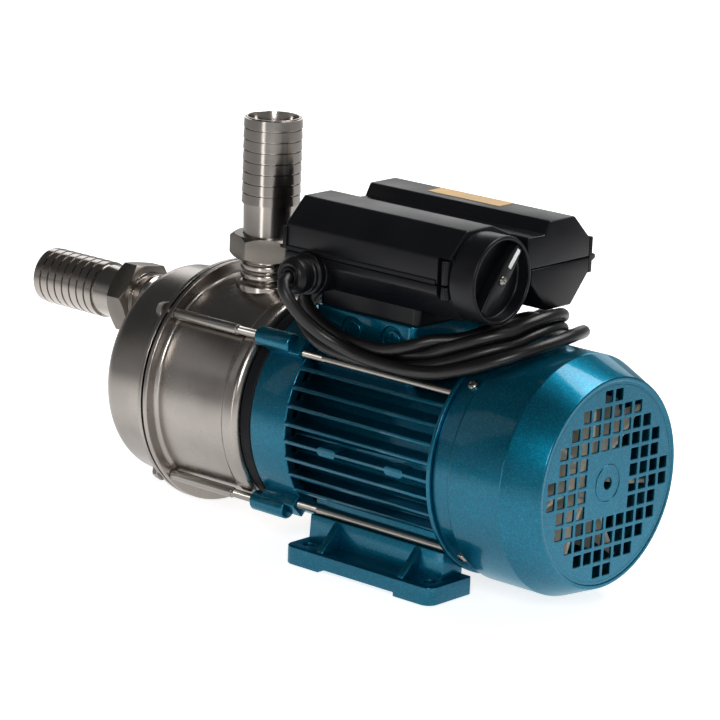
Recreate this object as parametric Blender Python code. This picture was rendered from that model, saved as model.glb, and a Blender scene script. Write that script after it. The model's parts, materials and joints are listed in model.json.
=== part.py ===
"""Self-priming transfer pump on a foot-mounted, finned motor, built in Blender.

Everything is in metres with +Z up. Pieces hang on one empty, shaft_line, which lies on the
shaft's axis at the fan cover's end face. Along it X is zero at that face and runs negative
towards the pump, -Y is the near side with the cable gland, and Z is height above the shaft.
"""
import math

import bmesh
import bpy

# Fits that every piece shares, and how finely round pieces are divided
SEAT_GAP = 0.0003
WIDE_STEPS = 28
NUT_STEPS = 12
INNER_STEPS = 20
PORT_STEPS = 16
ROD_STEPS = 8

# Shaft height and the lengths of the stack, from the fan end to the suction end
SHAFT_HEIGHT = 0.0735
COVER_LENGTH = 0.071
SHIELD_FLANGE = 0.0027
HOUSING_LENGTH = 0.109
ADAPTER_LENGTH = 0.0275
RING_LENGTH = 0.008
REAR_SHELL_LENGTH = 0.0675
FLANGE_THICKNESS = 0.003
GASKET_THICKNESS = 0.001
FRONT_SHELL_DEPTH = 0.0425

# Pump shells
SHELL_RADIUS = 0.065
SHELL_WALL = 0.002
FRONT_RADIUS = 0.0635
FRONT_CORNER = 0.011
SHOULDER_RADIUS = 0.066
FLANGE_RADIUS = 0.073
BACK_OPENING = 0.050

# Ports: sockets, union nuts and hose tails
PORT_BORE = 0.0135
NECK_RADIUS = 0.0150
THREAD_RADIUS = 0.0167
THREAD_REACH = 0.006
SEAL_THICKNESS = 0.0015
COLLAR_THICKNESS = 0.0029
TAIL_RADIUS = 0.0156
TAIL_BORE = 0.0135
TAIL_REACH = 0.070
RIB_RADIUS = 0.0173
RIB_PITCH = 0.0064
RIB_COUNT = 8
NUT_FLATS = 0.041
NUT_LENGTH = 0.014
SUCTION_HEIGHT = 0.036
SUCTION_NECK = 0.025
OUTLET_NECK = 0.0155
OUTLET_FROM_BACK = 0.038

# Tie studs of the pump and through bolts of the motor
STUD_CIRCLE = 0.0692
STUD_ANGLE = 45.0
STUD_RADIUS = 0.0025
SLEEVE_RADIUS = 0.0031
SLEEVE_LENGTH = 0.049
STUD_NUT_FLATS = 0.0085
STUD_NUT_LENGTH = 0.005
LUG_RADIUS = 0.0058
LUG_FORWARD = 0.006
LUG_LENGTH = 0.026
BOLT_CIRCLE = 0.0651
BOLT_ANGLE = 43.2
BOLT_RADIUS = 0.0022
THREAD_DEPTH = 0.010

# Adapter, ring and motor
ADAPTER_RADIUS = 0.0627
ADAPTER_WALL = 0.006
RING_RADIUS = 0.0622
RING_BORE = 0.046
CORE_RADIUS = 0.054
STATOR_RADIUS = 0.048
FIN_RADIUS = 0.064
FIN_COUNT = 8
FIN_TOP = 0.037
FIN_PITCH = 0.0102
FIN_THICKNESS = 0.0034
FIN_TAPER = 0.0008
BELLY_FIN_COUNT = 5
BELLY_FIN_PITCH = 0.0095
BELLY_FIN_RADIUS = 0.061
FIN_BEVEL = 0.006

# Terminal pedestal on the housing
PEDESTAL_LENGTH = 0.070
PEDESTAL_WIDTH = 0.084
PEDESTAL_TOP = 0.0733
PEDESTAL_FROM_SHIELD = 0.0386
PEDESTAL_CORNER = 0.004
PEDESTAL_WALL = 0.006
POCKET_DEPTH = 0.016
KNOCKOUT_RADIUS = 0.0085
KNOCKOUT_SPACING = 0.0314
KNOCKOUT_HEIGHT = 0.0612

# Feet: bolt pattern 112 by 90, as on motor frame 71
FOOT_SPAN = 0.112
FOOT_PITCH = 0.090
FOOT_LENGTH = 0.110
FOOT_EDGE = 0.0667
FOOT_INNER = 0.031
FOOT_PLATE = 0.0105
FOOT_HOLE_RADIUS = 0.0035
FOOT_FROM_SHIELD = 0.0488
FOOT_RELIEF = 0.0022
RELIEF_LENGTH = 0.056
CHEEK_LENGTH = 0.059

# Fan cover and its grille
COVER_RADIUS = 0.0655
COVER_WALL = 0.0014
COVER_BEAD = 0.0008
CROWN_RADIUS = 0.068
CROWN_LENGTH = 0.022
RIM_RADIUS = 0.0592
RIM_HEIGHT = 0.001
GRILLE_PITCH = 0.009
GRILLE_HOLE = 0.0068
GRILLE_ROWS = (2, 6, 8, 10, 6, 8, 8, 6, 10, 8, 6, 2)
GRILLE_BLANK = 4
GRILLE_TURN = -2.0
HUB_HOLE = 0.0035

# Fan, shaft, bearings and rotor
FAN_RADIUS = 0.055
FAN_HUB = 0.013
FAN_BLADES = 7
FAN_BLADE_THICKNESS = 0.002
FAN_WIDTH = 0.034
FAN_END_GAP = 0.012
SHAFT_JOURNAL = 0.0075
SHAFT_CORE = 0.010
SHAFT_END_RADIUS = 0.006
BEARING_RADIUS = 0.0175
BEARING_WIDTH = 0.011
ROTOR_RADIUS = 0.0275
ROTOR_LENGTH = 0.060
STATOR_LENGTH = 0.062
WINDING_LENGTH = 0.011
WINDING_BORE = 0.0285
WINDING_RADIUS = 0.044

# Wet end inside the shells
BACK_PLATE = 0.005
BACK_PLATE_RADIUS = 0.0625
SEAL_SEAT_RADIUS = 0.015
SEAL_SEAT_WIDTH = 0.0042
SEAL_HEAD_RADIUS = 0.012
IMPELLER_RADIUS = 0.047
IMPELLER_HUB = 0.013
IMPELLER_VANES = 12
IMPELLER_VANE = 0.0026
IMPELLER_WIDTH = 0.012
IMPELLER_SIDE_GAP = 0.0006
PORT_PLATE_WALL = 0.004
PORT_WINDOW_RADIUS = 0.009
SHAFT_NUT_FLATS = 0.017
SHAFT_NUT_LENGTH = 0.008

# Electrical box: two bays side by side, cut at one seam
BAY_OFFSET = 0.028
BAY_HALF_WIDTH = 0.0255
BAY_TOP_HALF = 0.011
BOX_BOTTOM = 0.0825
BOX_TOP = 0.1333
BOX_SEAM = 0.1079
BOX_SHOULDER = 0.0142
BOX_HIP = 0.0165
BOX_WALL = 0.0025
VALLEY_FLOOR = 0.1265
VALLEY_NEAR = -0.0015
VALLEY_FAR = 0.013
BOX_START = 0.1985
NEAR_BAY_LENGTH = 0.1195
FAR_BAY_LENGTH = 0.1325
BOX_NECK_WIDTH = 0.078
LATCH_LENGTH = 0.010
LATCH_HEIGHT = 0.020
LATCH_THICKNESS = 0.0032

# Reversing switch
SWITCH_HEIGHT = 0.1070
DRUM_RADIUS = 0.0255
DRUM_LENGTH = 0.020
DRUM_RIM = 0.002
DRUM_RECESS = 0.0075
SPINDLE_RADIUS = 0.003
SPINDLE_LENGTH = 0.045
SWITCH_BODY_RADIUS = 0.0215
SWITCH_BODY_LENGTH = 0.030
LEVER_ANGLE = 40.0
LEVER_LENGTH = 0.044
LEVER_WIDTH = 0.0095
LEVER_HEIGHT = 0.007
LEVER_SCREW_RADIUS = 0.0027
LEVER_SCREW_HEIGHT = 0.0012

# Capacitor, terminal block, cable gland
CAPACITOR_RADIUS = 0.0195
CAPACITOR_LENGTH = 0.085
TERMINAL_LENGTH = 0.042
TERMINAL_WIDTH = 0.022
TERMINAL_HEIGHT = 0.013
GLAND_FROM_START = 0.022
GLAND_HEIGHT = 0.0950
BOSS_RADIUS = 0.0124
GLAND_RADIUS = 0.011
GLAND_BODY = 0.010
GLAND_NUT_RADIUS = 0.0098
GLAND_NUT = 0.0078

# Mains cord: its coil lies round the pedestal, under the box
CORD_RADIUS = 0.0037
COIL_HALF_WIDTH = 0.0105
COIL_HALF_HEIGHT = 0.0066
PLUG_RADIUS = 0.0185
PLUG_LENGTH = 0.036
PLUG_PIN_RADIUS = 0.0024
PLUG_PIN_LENGTH = 0.019
PLUG_PIN_PITCH = 0.019

# Stations along the shaft, worked out from the lengths above
SHIELD_BACK = -COVER_LENGTH - SEAT_GAP
SHIELD_FRONT = SHIELD_BACK - SHIELD_FLANGE
HOUSING_BACK = SHIELD_FRONT - SEAT_GAP
HOUSING_FRONT = HOUSING_BACK - HOUSING_LENGTH
ADAPTER_BACK = HOUSING_FRONT - SEAT_GAP
ADAPTER_FRONT = ADAPTER_BACK - ADAPTER_LENGTH
RING_BACK = ADAPTER_FRONT - SEAT_GAP
RING_FRONT = RING_BACK - RING_LENGTH
SHELL_BACK = RING_FRONT - SEAT_GAP
SHELL_JOINT = SHELL_BACK - REAR_SHELL_LENGTH
GASKET_BACK = SHELL_JOINT - SEAT_GAP
GASKET_FRONT = GASKET_BACK - GASKET_THICKNESS
FRONT_JOINT = GASKET_FRONT - SEAT_GAP
FRONT_FACE = FRONT_JOINT - FRONT_SHELL_DEPTH
SUCTION_TIP = FRONT_FACE - SEAT_GAP - SUCTION_NECK - NUT_LENGTH - TAIL_REACH
OUTLET_X = SHELL_BACK - OUTLET_FROM_BACK
PEDESTAL_X = HOUSING_BACK - PEDESTAL_FROM_SHIELD - PEDESTAL_LENGTH / 2
FOOT_X = HOUSING_BACK - FOOT_FROM_SHIELD
BOX_X = -BOX_START
NEAR_BAY_END = BOX_X + NEAR_BAY_LENGTH
FAR_BAY_END = BOX_X + FAR_BAY_LENGTH
GLAND_X = BOX_X + GLAND_FROM_START
BAY_NEAR_FACE = -BAY_OFFSET - BAY_HALF_WIDTH
GLAND_FRONT = BAY_NEAR_FACE - 2 * SEAT_GAP - GLAND_BODY - GLAND_NUT

# Stations of the rotor
BEARING_POCKET = 0.0015
FRONT_BEARING_BACK = ADAPTER_BACK + BEARING_POCKET
FRONT_BEARING_FRONT = FRONT_BEARING_BACK - BEARING_WIDTH
REAR_BEARING_FRONT = SHIELD_FRONT - 0.008
REAR_BEARING_BACK = REAR_BEARING_FRONT + BEARING_WIDTH
STATOR_X = (HOUSING_BACK + HOUSING_FRONT) / 2
BACK_PLATE_BACK = SHELL_BACK - SHELL_WALL - SEAT_GAP
BACK_PLATE_FRONT = BACK_PLATE_BACK - BACK_PLATE
SEAT_FRONT = BACK_PLATE_BACK + 0.0010
IMPELLER_BACK = BACK_PLATE_FRONT - IMPELLER_SIDE_GAP
IMPELLER_FRONT = IMPELLER_BACK - IMPELLER_WIDTH
PORT_WALL_BACK = IMPELLER_FRONT - IMPELLER_SIDE_GAP
PORT_WALL_FRONT = PORT_WALL_BACK - PORT_PLATE_WALL
SHAFT_TIP = IMPELLER_FRONT - SHAFT_NUT_LENGTH - SEAT_GAP

STAINLESS = ("stainless", (0.62, 0.59, 0.56, 1.0), 1.0, 0.22)
NUT_STEEL = ("brushed_nut_steel", (0.42, 0.39, 0.37, 1.0), 1.0, 0.42)
ZINC = ("bright_zinc", (0.72, 0.70, 0.68, 1.0), 1.0, 0.30)
TEAL = ("metallic_teal_paint", (0.012, 0.135, 0.205, 1.0), 0.55, 0.30)
BLACK_RING = ("black_ring", (0.010, 0.011, 0.013, 1.0), 0.0, 0.45)
BLACK_PLASTIC = ("black_plastic", (0.012, 0.013, 0.016, 1.0), 0.0, 0.35)
BLACK_RUBBER = ("black_rubber", (0.015, 0.015, 0.016, 1.0), 0.0, 0.60)
SEAL_RUBBER = ("seal_rubber", (0.030, 0.030, 0.032, 1.0), 0.0, 0.70)
SHAFT_STEEL = ("shaft_steel", (0.55, 0.55, 0.56, 1.0), 1.0, 0.28)
FAN_PLASTIC = ("fan_aluminium", (0.60, 0.53, 0.46, 1.0), 0.4, 0.42)
BRONZE = ("bronze", (0.55, 0.36, 0.18, 1.0), 1.0, 0.35)
COPPER = ("copper_winding", (0.60, 0.24, 0.10, 1.0), 1.0, 0.40)
LAMINATION = ("lamination_steel", (0.30, 0.30, 0.32, 1.0), 0.9, 0.45)
CERAMIC = ("ceramic_seat", (0.80, 0.78, 0.72, 1.0), 0.0, 0.35)
CAPACITOR_WHITE = ("capacitor_white", (0.75, 0.75, 0.73, 1.0), 0.0, 0.40)


def clear_scene():
    """Remove whatever the file opened with."""
    for item in list(bpy.data.objects):
        bpy.data.objects.remove(item, do_unlink=True)


def material(spec):
    """Return the named Principled material, made on first use."""
    name, colour, metallic, roughness = spec
    found = bpy.data.materials.get(name)
    if found:
        return found
    made = bpy.data.materials.new(name)
    made.use_nodes = True
    shader = made.node_tree.nodes["Principled BSDF"]
    shader.inputs["Base Color"].default_value = colour
    shader.inputs["Metallic"].default_value = metallic
    shader.inputs["Roughness"].default_value = roughness
    made.diffuse_color = colour
    return made


def empty(name, location=(0.0, 0.0, 0.0), rotation=(0.0, 0.0, 0.0), parent=None):
    """Make an empty that carries pieces."""
    made = bpy.data.objects.new(name, None)
    made.location = location
    made.rotation_euler = rotation
    made.parent = parent
    bpy.context.scene.collection.objects.link(made)
    return made


def solid(name, mesh_builder, spec, parent, location=(0.0, 0.0, 0.0), rotation=(0.0, 0.0, 0.0)):
    """Fill a bmesh with mesh_builder, face it outwards and make it an object."""
    work = bmesh.new()
    mesh_builder(work)
    bmesh.ops.recalc_face_normals(work, faces=work.faces)
    mesh = bpy.data.meshes.new(name)
    work.to_mesh(mesh)
    work.free()
    made = bpy.data.objects.new(name, mesh)
    made.location = location
    made.rotation_euler = rotation
    made.parent = parent
    bpy.context.scene.collection.objects.link(made)
    if spec:
        mesh.materials.append(material(spec))
        mesh.shade_smooth()
        mesh.set_sharp_from_angle(angle=math.radians(32))
    else:
        made.hide_render = True
        made.display_type = "WIRE"
    return made


def cut(target, cutter, operation="DIFFERENCE"):
    """Cut target with cutter, or join them, by an exact Boolean."""
    modifier = target.modifiers.new(operation.lower(), "BOOLEAN")
    modifier.operation = operation
    modifier.solver = "EXACT"
    modifier.object = cutter


def turned(profile, steps, closed=False):
    """Turn (station, radius) points about the local X axis.

    An open profile is capped with a flat face at both ends. A closed one makes a ring.
    """
    def fill(work):
        rings = []
        for station, radius in profile:
            ring = []
            for step in range(steps):
                turn = math.tau * step / steps
                ring.append(work.verts.new((station, radius * math.cos(turn), radius * math.sin(turn))))
            rings.append(ring)
        for first, second in zip(rings, rings[1:]):
            skin(work, first, second)
        if closed:
            skin(work, rings[-1], rings[0])
        else:
            work.faces.new(rings[0])
            work.faces.new(rings[-1])
    return fill


def skin(work, first, second):
    """Join two rings of equal count with faces."""
    count = len(first)
    for step in range(count):
        after = (step + 1) % count
        work.faces.new((first[step], first[after], second[after], second[step]))


def sleeve(outline, bore, stations):
    """Run an outline, given as (angle, radius), along X round a bore.

    stations holds (station, largest radius, bore radius); the largest radius clips the
    outline there, which chamfers a nut's corners.
    """
    def fill(work):
        outer = []
        inner = []
        for station, clip, bore_here in stations:
            outer_ring = []
            inner_ring = []
            for turn, radius in outline:
                reach = min(radius, clip)
                outer_ring.append(work.verts.new((station, reach * math.cos(turn), reach * math.sin(turn))))
                inside = bore_here or bore
                inner_ring.append(work.verts.new((station, inside * math.cos(turn), inside * math.sin(turn))))
            outer.append(outer_ring)
            inner.append(inner_ring)
        for first, second in zip(outer, outer[1:]):
            skin(work, first, second)
        for first, second in zip(inner, inner[1:]):
            skin(work, first, second)
        skin(work, outer[0], inner[0])
        skin(work, outer[-1], inner[-1])
    return fill


def hexagon(flats, steps):
    """Return a hexagon's outline as (angle, radius) points."""
    points = []
    for step in range(steps):
        turn = math.tau * step / steps
        within = (turn + math.pi / 6) % (math.pi / 3) - math.pi / 6
        points.append((turn, flats / 2 / math.cos(within)))
    return points


def star(hub, tip, thickness, count):
    """Return the outline of a hub with straight radial vanes, as (angle, radius) points."""
    points = []
    half = thickness / 2
    at_hub = math.asin(half / hub)
    at_tip = math.asin(half / tip)
    for vane in range(count):
        middle = math.tau * vane / count
        points.append((middle - at_hub, hub))
        points.append((middle - at_tip, tip))
        points.append((middle + at_tip, tip))
        points.append((middle + at_hub, hub))
        points.append((middle + math.pi / count, hub))
    return points


def prism(outline, start, end, axis="X"):
    """Extrude a flat outline from start to end along X, Y or Z."""
    def corner(first, second, along):
        if axis == "X":
            return (along, first, second)
        if axis == "Y":
            return (first, along, second)
        return (first, second, along)

    def fill(work):
        near = []
        far = []
        for first, second in outline:
            near.append(work.verts.new(corner(first, second, start)))
            far.append(work.verts.new(corner(first, second, end)))
        work.faces.new(near)
        work.faces.new(far)
        skin(work, near, far)
    return fill


def rounded_box(low, high, radius, steps=4):
    """Return the outline of a rectangle with round corners."""
    points = []
    corners = ((high[0], high[1], 0), (low[0], high[1], 1), (low[0], low[1], 2), (high[0], low[1], 3))
    for x, y, quarter in corners:
        centre_x = x - radius if quarter in (0, 3) else x + radius
        centre_y = y - radius if quarter in (0, 1) else y + radius
        for step in range(steps + 1):
            turn = math.pi / 2 * (quarter + step / steps)
            points.append((centre_x + radius * math.cos(turn), centre_y + radius * math.sin(turn)))
    return points


def rod(radius, start, end, steps):
    """Turn a plain rod along X."""
    return turned([(start, radius), (end, radius)], steps)


def tube(outer, inner, start, end, steps):
    """Turn a plain tube along X."""
    return turned([(start, inner), (start, outer), (end, outer), (end, inner)], steps, closed=True)


def on_circle(radius, degrees, quadrant):
    """Return (y, z) of one of four places, mirrored into each quadrant."""
    across = radius * math.cos(math.radians(degrees))
    up = radius * math.sin(math.radians(degrees))
    return (-across if quadrant in (0, 2) else across, up if quadrant < 2 else -up)


def arc(centre, radius, start, end, steps):
    """Return points on an arc in (station, radius) space, angles in degrees."""
    points = []
    for step in range(steps + 1):
        turn = math.radians(start + (end - start) * step / steps)
        points.append((centre[0] + radius * math.cos(turn), centre[1] + radius * math.sin(turn)))
    return points


def stud_holes(line, target, start, end):
    """Drill the four stud holes through a flange."""
    for quadrant in range(4):
        y, z = on_circle(STUD_CIRCLE, STUD_ANGLE, quadrant)
        drill = solid(f"{target.name}_drill_{quadrant}", rod(STUD_RADIUS + SEAT_GAP, start, end, ROD_STEPS),
                      None, line, (0.0, y, z))
        cut(target, drill)


def front_shell(line):
    """Drawn front cup with its flange and the suction opening."""
    outer = arc((FRONT_FACE + FRONT_CORNER, FRONT_RADIUS - FRONT_CORNER), FRONT_CORNER, 180, 90, 4)
    inside = FRONT_CORNER - SHELL_WALL
    inner = arc((FRONT_FACE + FRONT_CORNER, FRONT_RADIUS - FRONT_CORNER), inside, 90, 180, 2)
    flange_front = FRONT_JOINT - FLANGE_THICKNESS
    profile = outer + [(flange_front, FRONT_RADIUS)]
    profile += [(flange_front, FLANGE_RADIUS - 0.0008), (flange_front + 0.0008, FLANGE_RADIUS)]
    profile += [(FRONT_JOINT, FLANGE_RADIUS), (FRONT_JOINT, FRONT_RADIUS - SHELL_WALL)]
    profile += inner
    shell = solid("front_shell", turned(profile, WIDE_STEPS), STAINLESS, line)
    opening = solid("suction_opening", rod(PORT_BORE, FRONT_FACE - 0.01, FRONT_FACE + 0.01, PORT_STEPS),
                    None, line, (0.0, 0.0, SUCTION_HEIGHT))
    cut(shell, opening)
    stud_holes(line, shell, flange_front - 0.002, FRONT_JOINT + 0.002)


def shell_gasket(line):
    """Flat gasket between the two shell flanges."""
    profile = tube(STUD_CIRCLE - STUD_RADIUS - 0.0012, FRONT_RADIUS - SHELL_WALL, GASKET_FRONT, GASKET_BACK, WIDE_STEPS)
    solid("shell_gasket", profile, SEAL_RUBBER, line)


def rear_shell(line):
    """Drawn rear shell: flange, barrel, rolled shoulder and open back."""
    flange_back = SHELL_JOINT + FLANGE_THICKNESS
    shoulder = SHELL_BACK - 0.004
    profile = [(SHELL_JOINT, SHELL_RADIUS - SHELL_WALL), (SHELL_JOINT, FLANGE_RADIUS)]
    profile += [(flange_back - 0.0008, FLANGE_RADIUS), (flange_back, FLANGE_RADIUS - 0.0008)]
    profile += [(flange_back, SHELL_RADIUS), (shoulder - 0.006, SHELL_RADIUS)]
    profile += arc((shoulder, SHOULDER_RADIUS - 0.004), 0.004, 100, 0, 3)
    profile += [(SHELL_BACK, BACK_OPENING), (SHELL_BACK - SHELL_WALL, BACK_OPENING)]
    profile += [(SHELL_BACK - SHELL_WALL, SHELL_RADIUS - 0.006), (shoulder - 0.002, SHELL_RADIUS - SHELL_WALL)]
    shell = solid("rear_shell", turned(profile, WIDE_STEPS, closed=True), STAINLESS, line)
    opening = solid("outlet_opening", rod(PORT_BORE, 0.0, SHELL_RADIUS + 0.02, PORT_STEPS), None, line,
                    (OUTLET_X, 0.0, 0.0), (0.0, -math.pi / 2, 0.0))
    cut(shell, opening)
    stud_holes(line, shell, SHELL_JOINT - 0.002, flange_back + 0.002)


def port_socket(name, line, neck):
    """Welded socket: flared foot, two round beads and the thread's end."""
    profile = [(0.0, PORT_BORE), (0.0, NECK_RADIUS + 0.0042), (0.0014, NECK_RADIUS + 0.0018)]
    profile += [(0.0030, NECK_RADIUS)]
    for middle in (neck * 0.36, neck * 0.70):
        profile += arc((middle, NECK_RADIUS - 0.0008), 0.0024, 160, 20, 2)
    profile += [(neck - 0.0008, NECK_RADIUS), (neck + SEAT_GAP, THREAD_RADIUS)]
    profile += [(neck + THREAD_REACH, THREAD_RADIUS), (neck + THREAD_REACH, PORT_BORE)]
    return solid(name, turned(profile, PORT_STEPS, closed=True), STAINLESS, line)


def union_nut(name, line, neck):
    """Hexagon union nut: a wide thread bore and a lip that holds the tail's collar."""
    start = neck + SEAT_GAP
    end = start + NUT_LENGTH
    lip = neck + THREAD_REACH + SEAL_THICKNESS + COLLAR_THICKNESS + 3 * SEAT_GAP
    corner = NUT_FLATS / 2 / math.cos(math.pi / 6)
    chamfer = 0.0022
    wide = (THREAD_RADIUS + SEAT_GAP) / math.cos(math.pi / NUT_STEPS)
    narrow = (TAIL_RADIUS + SEAT_GAP) / math.cos(math.pi / NUT_STEPS)
    stations = [(start, corner, wide), (lip, corner, wide), (lip + 0.0001, corner, narrow)]
    stations += [(end - chamfer, corner, narrow), (end, NUT_FLATS / 2, narrow)]
    return solid(name, sleeve(hexagon(NUT_FLATS, NUT_STEPS), wide, stations), NUT_STEEL, line)


def union_seal(name, line, neck):
    """Ring that seals the tail's collar on the socket's end."""
    start = neck + THREAD_REACH + SEAT_GAP
    profile = tube(THREAD_RADIUS - SEAT_GAP, PORT_BORE, start, start + SEAL_THICKNESS, PORT_STEPS)
    return solid(name, profile, SEAL_RUBBER, line)


def hose_tail(name, line, neck):
    """Ribbed hose tail with the collar that sits inside the union nut."""
    collar = neck + THREAD_REACH + SEAL_THICKNESS + 2 * SEAT_GAP
    tip = neck + NUT_LENGTH + TAIL_REACH
    profile = [(collar, TAIL_BORE), (collar, THREAD_RADIUS), (collar + COLLAR_THICKNESS, THREAD_RADIUS)]
    profile += [(collar + COLLAR_THICKNESS, TAIL_RADIUS)]
    for rib in range(RIB_COUNT):
        start = tip - RIB_PITCH * (RIB_COUNT - rib)
        profile += [(start, TAIL_RADIUS), (start + RIB_PITCH * 0.15, RIB_RADIUS)]
    profile += [(tip, TAIL_RADIUS), (tip, TAIL_BORE)]
    return solid(name, turned(profile, PORT_STEPS, closed=True), STAINLESS, line)


def port(kind, line, neck):
    """One port's socket, seal, hose tail and nut, outwards along the line's X."""
    socket = port_socket(f"{kind}_socket", line, neck)
    union_seal(f"{kind}_seal", line, neck)
    hose_tail(f"{kind}_tail", line, neck)
    union_nut(f"{kind}_nut", line, neck)
    return socket


def ports(line):
    """Suction port low on the front face, outlet port on the rear shell's crown."""
    suction = empty("suction_line", (FRONT_FACE - SEAT_GAP, 0.0, SUCTION_HEIGHT), (0.0, 0.0, math.pi), line)
    port("suction", suction, SUCTION_NECK)
    outlet = empty("outlet_line", (OUTLET_X, 0.0, SHELL_RADIUS), (0.0, -math.pi / 2, 0.0), line)
    neck = port("outlet", outlet, OUTLET_NECK)
    saddle_skirt(neck, line, outlet)


def saddle_skirt(neck, line, outlet):
    """Lengthen the outlet's foot into a skirt and cut it to the shell's barrel."""
    drop = SHELL_RADIUS - math.sqrt(SHELL_RADIUS ** 2 - (NECK_RADIUS + 0.0042) ** 2) + 0.001
    skirt = solid("outlet_skirt", tube(NECK_RADIUS + 0.0042, PORT_BORE, -drop, 0.0006, PORT_STEPS), None, outlet)
    cut(neck, skirt, "UNION")
    barrel = solid("outlet_saddle", rod(SHELL_RADIUS + SEAT_GAP, -0.04, 0.04, WIDE_STEPS), None, line, (OUTLET_X, 0.0, 0.0))
    cut(neck, barrel)


def studs(line):
    """Four tie studs with a thicker sleeve, and their nuts on the front flange."""
    nut_back = FRONT_JOINT - FLANGE_THICKNESS - SEAT_GAP
    nut_front = nut_back - STUD_NUT_LENGTH
    sleeve_start = SHELL_JOINT + FLANGE_THICKNESS + SEAT_GAP
    stud_end = ADAPTER_FRONT + THREAD_DEPTH
    for quadrant in range(4):
        y, z = on_circle(STUD_CIRCLE, STUD_ANGLE, quadrant)
        profile = [(nut_front - 0.001, STUD_RADIUS), (sleeve_start, STUD_RADIUS)]
        profile += [(sleeve_start, SLEEVE_RADIUS), (sleeve_start + SLEEVE_LENGTH, SLEEVE_RADIUS)]
        profile += [(sleeve_start + SLEEVE_LENGTH, STUD_RADIUS), (stud_end, STUD_RADIUS)]
        solid(f"tie_stud_{quadrant + 1}", turned(profile, ROD_STEPS), ZINC, line, (0.0, y, z))
        corner = STUD_NUT_FLATS / 2 / math.cos(math.pi / 6)
        stations = [(nut_front, corner, 0.0), (nut_back, corner, 0.0)]
        fill = sleeve(hexagon(STUD_NUT_FLATS, NUT_STEPS), STUD_RADIUS + SEAT_GAP, stations)
        solid(f"stud_nut_{quadrant + 1}", fill, ZINC, line, (0.0, y, z))


def motor_bolts(line):
    """Four through bolts that clamp the housing between adapter and end shield."""
    start = ADAPTER_BACK - THREAD_DEPTH
    end = SHIELD_FRONT - SEAT_GAP
    for quadrant in range(4):
        y, z = on_circle(BOLT_CIRCLE, BOLT_ANGLE, quadrant)
        solid(f"motor_bolt_{quadrant + 1}", rod(BOLT_RADIUS, start, end, ROD_STEPS), ZINC, line, (0.0, y, z))


def back_plate(line):
    """Plate that closes the rear shell and holds the seal's seat."""
    boss_back = SEAT_FRONT + SEAL_SEAT_WIDTH
    profile = [(BACK_PLATE_FRONT, SEAL_HEAD_RADIUS + 0.0012), (BACK_PLATE_FRONT, BACK_PLATE_RADIUS - 0.003)]
    profile += [(BACK_PLATE_BACK - 0.003, BACK_PLATE_RADIUS - 0.003), (BACK_PLATE_BACK, BACK_PLATE_RADIUS - 0.004)]
    profile += [(BACK_PLATE_BACK, SEAL_SEAT_RADIUS + 0.005), (boss_back, SEAL_SEAT_RADIUS + 0.005)]
    profile += [(boss_back, SEAL_SEAT_RADIUS + SEAT_GAP), (SEAT_FRONT - SEAT_GAP, SEAL_SEAT_RADIUS + SEAT_GAP)]
    profile += [(SEAT_FRONT - SEAT_GAP, SEAL_HEAD_RADIUS + 0.0012)]
    solid("back_plate", turned(profile, INNER_STEPS, closed=True), STAINLESS, line)


def seal(line, rotor):
    """Mechanical seal: a fixed seat, and a head that turns with the shaft."""
    seat = tube(SEAL_SEAT_RADIUS, SHAFT_END_RADIUS + 0.0015, SEAT_FRONT, SEAT_FRONT + SEAL_SEAT_WIDTH, PORT_STEPS)
    solid("seal_seat", seat, CERAMIC, line)
    head_start = IMPELLER_BACK + SEAT_GAP
    head_end = SEAT_FRONT - SEAT_GAP
    head = tube(SEAL_HEAD_RADIUS, SHAFT_END_RADIUS + SEAT_GAP, head_start, head_end, PORT_STEPS)
    solid("seal_head", head, STAINLESS, rotor)


def impeller(rotor):
    """Star impeller with straight vanes, which pumps either way round."""
    outline = star(IMPELLER_HUB, IMPELLER_RADIUS, IMPELLER_VANE, IMPELLER_VANES)
    bore = SHAFT_END_RADIUS + SEAT_GAP
    stations = [(IMPELLER_FRONT, 1.0, bore), (IMPELLER_BACK, 1.0, bore)]
    solid("impeller", sleeve(outline, bore, stations), BRONZE, rotor)


def shaft_nut(rotor):
    """Nut that holds the impeller on the shaft."""
    start = IMPELLER_FRONT - SEAT_GAP - SHAFT_NUT_LENGTH
    corner = SHAFT_NUT_FLATS / 2 / math.cos(math.pi / 6)
    stations = [(start, corner, 0.0), (IMPELLER_FRONT - SEAT_GAP, corner, 0.0)]
    bore = (SHAFT_END_RADIUS + SEAT_GAP) / math.cos(math.pi / NUT_STEPS)
    fill = sleeve(hexagon(SHAFT_NUT_FLATS, NUT_STEPS), bore, stations)
    solid("shaft_nut", fill, STAINLESS, rotor)


def port_plate(line):
    """Side plate round the impeller, with the suction and discharge windows."""
    inner = IMPELLER_RADIUS + 0.001
    outer = inner + 0.004
    back = BACK_PLATE_FRONT - SEAT_GAP
    profile = [(PORT_WALL_FRONT, IMPELLER_HUB - 0.002), (PORT_WALL_FRONT, outer), (back, outer), (back, inner)]
    profile += [(PORT_WALL_BACK, inner), (PORT_WALL_BACK, IMPELLER_HUB - 0.002)]
    plate = solid("port_plate", turned(profile, INNER_STEPS, closed=True), STAINLESS, line)
    for side in (-1, 1):
        window = solid(f"port_window_{side + 1}", rod(PORT_WINDOW_RADIUS, PORT_WALL_FRONT - 0.002,
                                                      PORT_WALL_BACK + 0.0003, PORT_STEPS),
                       None, line, (0.0, side * 0.020, 0.026))
        cut(plate, window)


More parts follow.
